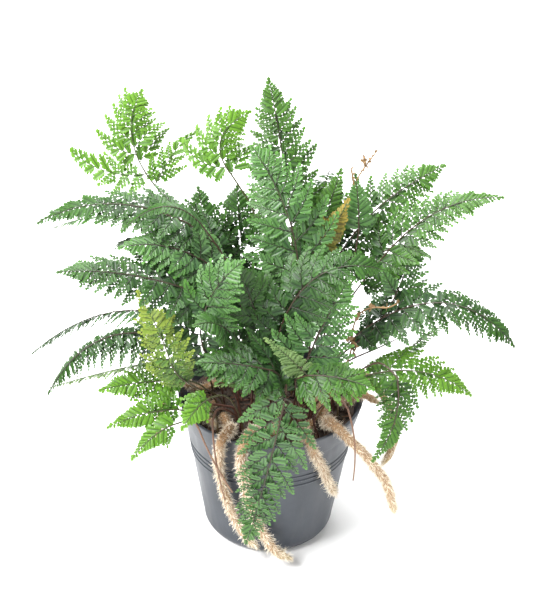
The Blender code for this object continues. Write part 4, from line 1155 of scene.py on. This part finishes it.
class Costa:
    """The curved midrib of a leaf part in flat places: where it starts, heads, sweeps and faces."""

    def __init__(self, base, heading, sweep, over, length):
        self.base, self.heading, self.sweep = base, unit(heading), sweep
        self.over, self.length = over, length

    def at(self, part):
        """The flat place and heading at a share of the midrib."""
        reach = self.length * part
        place = (self.base + self.heading * reach
                 + (self.sweep * COSTA_SWEEP - self.over * COSTA_DROOP) * reach * part)
        return place, unit(self.heading + 2 * part * (self.sweep * COSTA_SWEEP - self.over * COSTA_DROOP))

    def outline(self):
        """Five corners that hold the part, for tests against its neighbours."""
        near, _ = self.at(0.03)
        shoulder, heading = self.at(0.38)
        tip, _ = self.at(1.0)
        across = unit(np.cross(heading, self.over)) * OUTLINE_SHARE * self.length
        return np.array([near - across * 0.2, shoulder - across, tip, shoulder + across,
                         near + across * 0.2])


def rolled(over, heading, turn):
    """The face direction turned about the heading."""
    return unit(over * math.cos(turn) + np.cross(unit(heading), over) * math.sin(turn))


def first_pinna(share, hand, run, half_width, down, random):
    """The midrib of one leaflet of the first order, which hangs a little by its weight."""
    lean = math.radians(PINNA_LEAN - PINNA_LEAN_FALL * share + random.normal() * 3.0)
    width = half_width * (1 - share) ** PINNA_TAPER * (1 + 0.05 * random.normal())
    heading = np.array([hand * math.sin(lean), math.cos(lean), random.normal() * 0.09])
    heading = unit(heading + down)
    over = rolled(UP, heading, -hand * math.radians(PINNA_ROLL + 4 * random.normal()))
    return Costa(np.array([0.0, run, 0.0]), heading, np.array([0.0, 1.0, 0.0]), over,
                 max(width, PINNA_LEAST) / math.sin(lean))


def pinnae_of(bent, half_width, habit, random):
    """The leaflets of a frond, alternate on its two sides, closer together as they shorten."""
    run, hand, made = 0.002 - habit["leafy"] * bent.stipe, 1, []
    while run < bent.length * 0.97:
        share = abs(run) / bent.length
        down = bent.down(run) * habit["limp"]
        pinna = first_pinna(share, hand, run, half_width * habit["wide"], down, random)
        if len(made) < 2:
            pinna.length *= habit["basal"]
        made.append(pinna)
        run += max(pinna.length * PINNA_SPACING, PINNA_CLOSEST) / 2 * habit["open"] ** 0.5
        hand = -hand
    return made


class Crowd:
    """The surfaces that are already in place, kept apart by owner."""

    def __init__(self):
        self.bits = {}

    def add(self, owner, points, faces):
        """Add a surface under its owner's name."""
        self.bits.setdefault(owner, []).append((np.asarray(points, float), faces))

    def tree(self, without):
        """All surfaces but one owner's, ready for overlap tests."""
        points, faces, start = [], [], 0
        for owner, bits in self.bits.items():
            for corners, loops in bits:
                if owner != without:
                    points.extend(corners.tolist())
                    faces.extend([[start + i for i in loop] for loop in loops])
                    start += len(corners)
        return BVHTree.FromPolygons(points, faces)


def padded(corners):
    """A thin leaf outline with clearance on both sides, as a closed surface."""
    middle = corners.mean(axis=0)
    normal = unit(np.cross(corners[2] - corners[0], corners[3] - corners[1]))
    spread = corners - middle
    grown = corners + spread / np.linalg.norm(spread, axis=1)[:, None] * BLADE_CLEARANCE
    count = len(corners)
    points = np.vstack([grown + normal * BLADE_CLEARANCE, grown - normal * BLADE_CLEARANCE])
    faces = [list(range(count)), list(range(2 * count - 1, count - 1, -1))]
    faces += [[i, (i + 1) % count, count + (i + 1) % count, count + i] for i in range(count)]
    return BVHTree.FromPolygons(points.tolist(), faces)


def clear_pinna(pinna, bent, tree):
    """The leaflet at its greatest length and least tilt that clears its neighbours, or None."""
    length, heading = pinna.length, pinna.heading.copy()
    for scale, turn in PINNA_TRIES:
        pinna.length = length * scale
        pinna.heading = unit(heading + np.array([0.0, 0.0, math.tan(math.radians(turn))]))
        if not padded(bent.place(pinna.outline())).overlap(tree):
            return pinna
    return None


class Blade:
    """Gathers the leaflets of a frond in flat places, to be bent all at once."""

    def __init__(self, open_cut=1.0):
        self.points, self.faces, self.tones, self.ribs = [], [], [], []
        self.count = 0
        self.packing = PACKING * open_cut

    def add(self, points, faces, tones):
        """Add one leaflet; its faces number its own points."""
        self.points.append(points)
        self.tones.append(tones)
        self.faces.extend([[self.count + i for i in face] for face in faces])
        self.count += len(points)

    def spread(self, cloth, bent, to_flat):
        """Bend all the leaflets and their midribs and add them to the cloth."""
        flat = np.vstack(self.points)
        cloth.add(bent.place(flat), self.faces, to_flat(flat), np.clip(np.vstack(self.tones), 0, 1), 0)
        for flat, width in self.ribs:
            add_tube(cloth, bent.place(flat), np.linspace(width, width * 0.45, COSTA_RINGS), 4,
                     to_flat(flat), [(0.3, 1.0, 1.0)] * COSTA_RINGS, 1)


def add_lobe(blade, base, heading, over, length, tone):
    """One blunt lobe, creased along its middle."""
    across = np.cross(heading, over)
    points, shades = [base], [(0.0, 0.9)]
    for reach, half, rise, edge, middle, vein in LOBE_STATIONS:
        spine = base + heading * length * reach
        points += [spine - across * half * length + over * rise * length, spine,
                   spine + across * half * length + over * rise * length]
        shades += [(edge, 0.0), (middle, vein), (edge, 0.0)]
    blade.add(points, LOBE_FACES, [(tone[0] + older, tone[1] + older, vein) for older, vein in shades])


def pinnule_swell(part):
    """A pinnule's half width along it: narrow at its foot, full by a third, drawn in at its end."""
    return min(1.0, 0.50 + 1.8 * part) * (1.0 if part < 0.5 else 1.0 - 0.75 * (part - 0.5) ** 1.3)


def add_pinnule(blade, base, heading, over, length, width, tone, random):
    """A blunt oblong leaflet: a fold along its midrib and a margin cut into forward lobes."""
    pairs = max(1, round(length * LOBED_SHARE / LOBE_PITCH))
    gap = PINNULE_BODY / pairs
    across = np.cross(heading, over)
    half = width / 2
    forward = 0.30 * half / length
    arch = PINNULE_ARCH + 0.06 * random.normal()

    def spot(part, out, rise):
        """A point at shares of the length and the half width."""
        lift = rise * half - arch * length * part ** 2
        return base + heading * length * part + across * out * half + over * lift

    points, tones, faces = [], [], []
    for step in range(pairs + 1):
        part = PINNULE_FOOT + PINNULE_BODY * step / pairs
        inner = pinnule_swell(part) * (0.34 if step else 0.28)
        points += [spot(part, 0.0, -FOLD_DEPTH), spot(part + 0.02, -inner, FOLD_RISE),
                   spot(part + 0.02, inner, FOLD_RISE)]
        # The midrib takes the dark vein colour. The two inner points between the lobes are darkened as
        # painted shade in the sinuses.
        tones += [(tone[0] - 0.15, tone[1], 1.0 - 0.2 * part)] + [(tone[0] - 0.06, tone[1], 0.10)] * 2
    for step in range(pairs):
        part = PINNULE_FOOT + PINNULE_BODY * step / pairs
        for side in (-1, 1):
            swell = pinnule_swell(part + 0.5 * gap) * (1.0 + 0.12 * random.normal())
            first = len(points)
            for share, lean, out, rise, lighter, older in TOOTH_CORNERS:
                points.append(spot(part + share * gap + forward * lean, side * swell * out, rise))
                # The lobe's lighter share is painted light.
                tones.append((tone[0] + lighter, tone[1] + older, 0.0))
            middle = 3 * step
            inner = middle + (1 if side < 0 else 2)
            loops = [[middle, inner, inner + 3, middle + 3], [inner, first, first + 2, inner + 3],
                     [first, first + 1, first + 2]]
            faces += loops if side > 0 else [loop[::-1] for loop in loops]
    last, first = 3 * pairs, len(points)
    swell = pinnule_swell(LOBED_SHARE)
    points += [spot(part, swell * out, rise) for part, out, rise in END_CORNERS]
    tones += [(tone[0], tone[1] + 0.22, 0.0)] * len(END_CORNERS)
    faces += [[last, first + 1, first, last + 1], [last, first + 2, first + 1],
              [last, last + 2, first + 3, first + 2]]
    blade.add(points, faces, tones)


def divide(blade, costa, level, tone, random):
    """Cut a leaf part into smaller ones down its two sides, until they are small enough to be lobed."""
    part, side = PART_FIRST, -1 if level == 1 else 1
    ratio = PART_SHARE if level == 1 else PART_SHARE * SECOND_SHARE
    while part < PART_END:
        base, heading = costa.at(part)
        length = costa.length * ratio * (1 - part) ** PART_TAPER + PART_LEAST
        lean = math.radians(PART_LEAN - PART_LEAN_FALL * part + random.normal() * 3)
        outward = np.cross(heading, costa.over) * side
        ahead = heading * math.cos(lean) + outward * math.sin(lean)
        over = rolled(costa.over, ahead, -side * math.radians(PART_ROLL + 5 * random.normal()))
        ahead = unit(ahead + costa.over * 0.10 * random.normal())
        over = unit(over - ahead * (over @ ahead))
        width = max(PINNULE_SHARE * length, PINNULE_NARROWEST)
        local = (tone[0] + 0.14 * random.normal(), tone[1] + 0.30 * part + 0.06 * random.normal())
        if length > COMPOUND_LENGTH and level < 3:
            divide(blade, Costa(base, ahead, heading, over, length), level + 1, local, random)
        elif length > LOBED_LENGTH:
            add_pinnule(blade, base, ahead, over, length, min(width, PINNULE_WIDEST), local, random)
        else:
            add_lobe(blade, base, ahead, over, length, local)
        pitch = max(min(width, PINNULE_WIDEST * 1.5 if level > 1 else 1.0) * blade.packing / math.sin(lean),
                    PART_CLOSEST)
        part += pitch / 2 / costa.length
        side = -side
    base, heading = costa.at(0.955)
    add_lobe(blade, base, heading, costa.over, END_LENGTH, (tone[0] + 0.1, tone[1] + 0.4))
    if level < 3:
        flat = np.array([costa.at(share)[0] for share in np.linspace(0.0, 0.97, COSTA_RINGS)])
        blade.ribs.append((flat, COSTA_RADIUS * min(1.0, 0.35 + costa.length / 0.05)))


def fill_pinna(blade, pinna, age, random):
    """One leaflet of the first order, as finely cut as its length allows."""
    light = 0.42 + 0.21 * random.normal()
    over = unit(pinna.over - pinna.heading * (pinna.over @ pinna.heading))
    if pinna.length > COMPOUND_LENGTH:
        divide(blade, pinna, 1, (light, age), random)
    elif pinna.length > LOBED_LENGTH:
        add_pinnule(blade, pinna.base, pinna.heading, over, pinna.length,
                    min(PINNA_SHARE * pinna.length, PINNA_WIDEST), (light, age + 0.15), random)
    else:
        add_lobe(blade, pinna.base, pinna.heading, over, pinna.length, (light, age + 0.4))


def make_frond(name, bent, pinnae, half_width, materials, slot, age, open_cut, random):
    """One frond: stipe, rachis and midribs as thin round stems, and the lobed blade."""
    cloth = Cloth()
    width = 3.2 * half_width + 0.02
    low = min([0.0] + [pinna.base[1] for pinna in pinnae]) - 0.014
    length = bent.length * 1.06 + 0.012 - low

    def to_flat(flat):
        """The place on the blade's own flat map, which leaves a margin and a strip for the stipe."""
        return np.column_stack([0.5 + flat[:, 0] / width, 0.08 + 0.91 * (flat[:, 1] - low) / length])

    stipe = bent.stem(-bent.stipe, 0.0, STIPE_RINGS)
    rise = np.linspace(0.0, 1.0, STIPE_RINGS)
    add_tube(cloth, stipe, RACHIS_RADIUS * (1.18 - 0.18 * rise), STIPE_SIDES,
             np.column_stack([0.02 + 0.96 * rise, np.full(STIPE_RINGS, 0.03)]),
             np.column_stack([np.full(STIPE_RINGS, 0.3), 0.55 * rise, np.ones(STIPE_RINGS)]), 1)
    rachis = bent.stem(0.0, bent.length, RACHIS_RINGS)
    run = np.linspace(0.0, 1.0, RACHIS_RINGS)
    add_tube(cloth, rachis, RACHIS_RADIUS * (1 - run) + RACHIS_TIP_RADIUS * run, RACHIS_SIDES,
             to_flat(np.column_stack([np.zeros(RACHIS_RINGS), run * bent.length])),
             np.column_stack([np.full(RACHIS_RINGS, 0.3), 0.55 + 0.45 * run, np.ones(RACHIS_RINGS)]),
             1, closed=True)
    blade = Blade(open_cut)
    for pinna in pinnae:
        fill_pinna(blade, pinna, age + 0.25 * pinna.base[1] / bent.length, random)
    add_pinnule(blade, np.array([0.0, bent.length * LAST_FOOT, 0.0]), np.array([0.0, 1.0, 0.0]), UP,
                LAST_LENGTH, LAST_WIDTH, (0.5, age + 0.5), random)
    blade.spread(cloth, bent, to_flat)
    settle(cloth.make(name + "_leaf", materials), slot, name)


# ---------------------------------------------------------------- putting the plant together
def stem_paths(routes):
    """The stems' paths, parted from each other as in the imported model."""
    paths = [frond_path(foot_point(foot), *map(layout_point, (base, middle, tip)))
             for _, foot, base, middle, tip, *_ in FRONDS + BARE_STIPES]
    ring = [(RIM_RADIUS * math.cos(turn), RIM_RADIUS * math.sin(turn), POT_HEIGHT)
            for turn in np.linspace(0.0, math.tau, RIM_STATIONS)]
    fixed = [(route, radius + STEM_WIDTH) for _, radius, route in routes]
    return spread_stems(paths, fixed + [(np.array(ring), RIM_SPACING)])


def add_stem_to_crowd(crowd, owner, bent):
    """A stem as a thin strip."""
    path = bent.stem(-bent.stipe, bent.length, STRIP_STATIONS)
    half = np.array([STRIP_WIDTH / 2, 0.0, 0.0])
    crowd.add(owner, np.vstack([path - half, path + half]),
              [[i, i + 1, STRIP_STATIONS + 1 + i, STRIP_STATIONS + i] for i in range(STRIP_STATIONS - 1)])


def make_leaves(paths, random):
    """Every frond, each leaflet clear of what stands round it."""
    crowd = Crowd()
    for node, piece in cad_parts.items():
        if not node.startswith(("frond", "bare")):
            crowd.add(node, [tuple(vertex.co) for vertex in piece.data.vertices],
                      [list(face.vertices) for face in piece.data.polygons])
    shapes = []
    for (name, *_, face, look), path in zip(FRONDS, paths):
        shapes.append(Bent(path, face))
        add_stem_to_crowd(crowd, name, shapes[-1])
    stems = {True: stem_material("stipe_green", (0.080, 0.050, 0.022), (0.040, 0.085, 0.018)),
             False: stem_material("stipe_dark", (0.090, 0.034, 0.024), (0.010, 0.022, 0.008))}
    leaves = {look: leaf_material("fern_" + look, *values[:6]) for look, values in LEAF_LOOKS.items()}
    for (name, *_, half_width, face, look), bent in zip(FRONDS, shapes):
        tree = crowd.tree(without=name)
        half_width *= RIM_RADIUS
        pinnae = []
        habit = {**HABIT, **HABITS.get(name, {})}
        for pinna in pinnae_of(bent, half_width, habit, random):
            pinna = clear_pinna(pinna, bent, tree)
            if pinna:
                pinnae.append(pinna)
                crowd.add(name, bent.place(pinna.outline()), [[0, 1, 2, 3, 4]])
        make_frond("frond_" + name, bent, pinnae, half_width, [leaves[look], stems[look in LEAF_AGES]],
                   LEAF_LOOKS[look][6], LEAF_AGES.get(look, 0.0), habit["open"], random)


class Unbent:
    """Stands in for a frond's curve where the places are already in space."""

    def place(self, flat):
        """The same places."""
        return np.asarray(flat)


def make_twigs(random):
    """A young crozier above the crown, and the withered ends of an old frond over the front."""
    dry = leaf_material("dry_leaf", (0.060, 0.034, 0.016), (0.200, 0.120, 0.060), (0.420, 0.270, 0.120),
                        (0.060, 0.030, 0.014), 0.6, 0.05)
    stalk = stem_material("dry_stalk", (0.240, 0.130, 0.050), (0.300, 0.190, 0.080), 0.5)
    for name, stalks, size in TWIGS:
        cloth, blade = Cloth(), Blade()
        routes = [np.array([layout_point(stop) for stop in stops]) for stops, _ in stalks]
        places = np.vstack(routes)
        low = places.min(axis=0) - 0.006
        span = np.ptp(places, axis=0).max() + 0.014

        def to_flat(flat):
            """The place on a plain front view."""
            return (np.asarray(flat)[:, [0, 2]] - low[[0, 2]]) / span

        for route, (_, bare) in zip(routes, stalks):
            line = smooth_path(route, TWIG_RINGS)
            add_tube(cloth, line, np.linspace(TWIG_RADIUS, TWIG_TIP_RADIUS, TWIG_RINGS), TWIG_SIDES,
                     to_flat(line), [(0.3, 0.5, 1.0)] * TWIG_RINGS, 1, closed=True)
            for step in np.linspace(bare, 1.0, SCRAP_PLACES):
                point = line[int(step * (TWIG_RINGS - 1))]
                for _ in range(SCRAPS_PER_PLACE):
                    heading = unit(random.normal(size=3) + UP * 0.3)
                    over = unit(np.cross(heading, random.normal(size=3)))
                    tone = (0.5 + 0.3 * random.normal(), 0.3 + 0.3 * random.random())
                    add_lobe(blade, point, heading, over, size * (0.6 + 0.8 * random.random()), tone)
        blade.spread(cloth, Unbent(), to_flat)
        settle(cloth.make(name, [dry, stalk]), "leaf_ageing")


def make_bare_stipes(paths):
    """Brown stalks that have shed their blades."""
    material = stem_material("stipe_bare", (0.110, 0.042, 0.030), (0.210, 0.120, 0.070), 0.5)
    for (name, *_), path in zip(BARE_STIPES, paths):
        cloth = Cloth()
        route = smooth_path(path, BARE_RINGS)
        share = np.linspace(0.0, 1.0, BARE_RINGS)
        add_tube(cloth, route, BARE_RADIUS * (1 - share) + BARE_TIP_RADIUS * share, BARE_SIDES,
                 np.column_stack([np.full(BARE_RINGS, 0.5), share]),
                 np.column_stack([0.4 * share, share, np.zeros(BARE_RINGS)]), closed=True)
        settle(cloth.make(name + "_stalk", [material]), "bare_stipe", name)


# ---------------------------------------------------------------- stage, lights and camera
FLOOR_SIZE = 6.0
SKY_STRENGTH = 0.42
# The lights: name, place, width in metres and power in watts.
LIGHTS = [("key", (-1.0, -0.9, 1.5), 0.9, 76.0), ("fill", (1.1, -0.9, 1.0), 1.0, 9.0),
          ("top", (0.1, 0.5, 1.8), 1.0, 56.0)]
# The lights and the camera each face a point in the middle of the plant.
LIGHT_TARGET = (0.0, 0.0, 0.2)
CAMERA_TARGET = (0.0015, 0.0, 0.2126)
CAMERA_ELEVATION = math.radians(31.3)
CAMERA_ROLL = math.radians(1.45)
CAMERA_DISTANCE = 1.25
CAMERA_LENS = 95.4


def make_stage():
    """A pale floor and soft studio light."""
    bpy.ops.mesh.primitive_plane_add(size=FLOOR_SIZE, location=(0.0, 0.0, 0.0))
    floor = bpy.context.active_object
    floor.name = "floor"
    floor.data.materials.append(Nodes("pale_floor").finish((0.90, 0.90, 0.90, 1.0), 0.9))
    world = bpy.data.worlds.new("studio")
    world.use_nodes = True
    world.node_tree.nodes["Background"].inputs["Color"].default_value = (1.0, 1.0, 1.0, 1.0)
    world.node_tree.nodes["Background"].inputs["Strength"].default_value = SKY_STRENGTH
    bpy.context.scene.world = world
    bpy.context.scene.view_settings.view_transform = "Standard"
    for light in LIGHTS:
        add_light(*light)


def add_light(name, place, size, power):
    """A square soft light that faces the plant."""
    data = bpy.data.lights.new(name, "AREA")
    data.shape = "SQUARE"
    data.size = size
    data.energy = power
    light = new_object(name, data)
    light.location = place
    aim = Vector(LIGHT_TARGET) - light.location
    light.rotation_euler = aim.to_track_quat("-Z", "Y").to_euler()


def make_camera():
    """The camera looks down on the pot from its front, with a slight roll."""
    back = Vector((0.0, -math.cos(CAMERA_ELEVATION), math.sin(CAMERA_ELEVATION)))
    right = Vector((1.0, 0.0, 0.0))
    above = back.cross(right)
    turned_right = right * math.cos(CAMERA_ROLL) + above * math.sin(CAMERA_ROLL)
    turned_up = above * math.cos(CAMERA_ROLL) - right * math.sin(CAMERA_ROLL)
    data = bpy.data.cameras.new("camera")
    data.lens = CAMERA_LENS
    data.sensor_width = 36.0
    camera = new_object("camera", data)
    rotation = Matrix((turned_right, turned_up, back)).transposed().to_4x4()
    camera.matrix_world = Matrix.Translation(Vector(CAMERA_TARGET) + back * CAMERA_DISTANCE) @ rotation
    bpy.context.scene.camera = camera


def main():
    """Build the plant, its stage and its camera."""
    make_camera()
    make_stage()
    random = np.random.default_rng(7)
    routes = [(name, radius, rhizome_path(radius, stops)) for name, radius, stops in RHIZOMES]
    paths = stem_paths(routes)
    make_pot()
    make_compost(random)
    make_rhizomes(routes, random)
    make_leaves(paths, random)
    make_twigs(random)
    make_bare_stipes(paths[len(FRONDS):])


main()
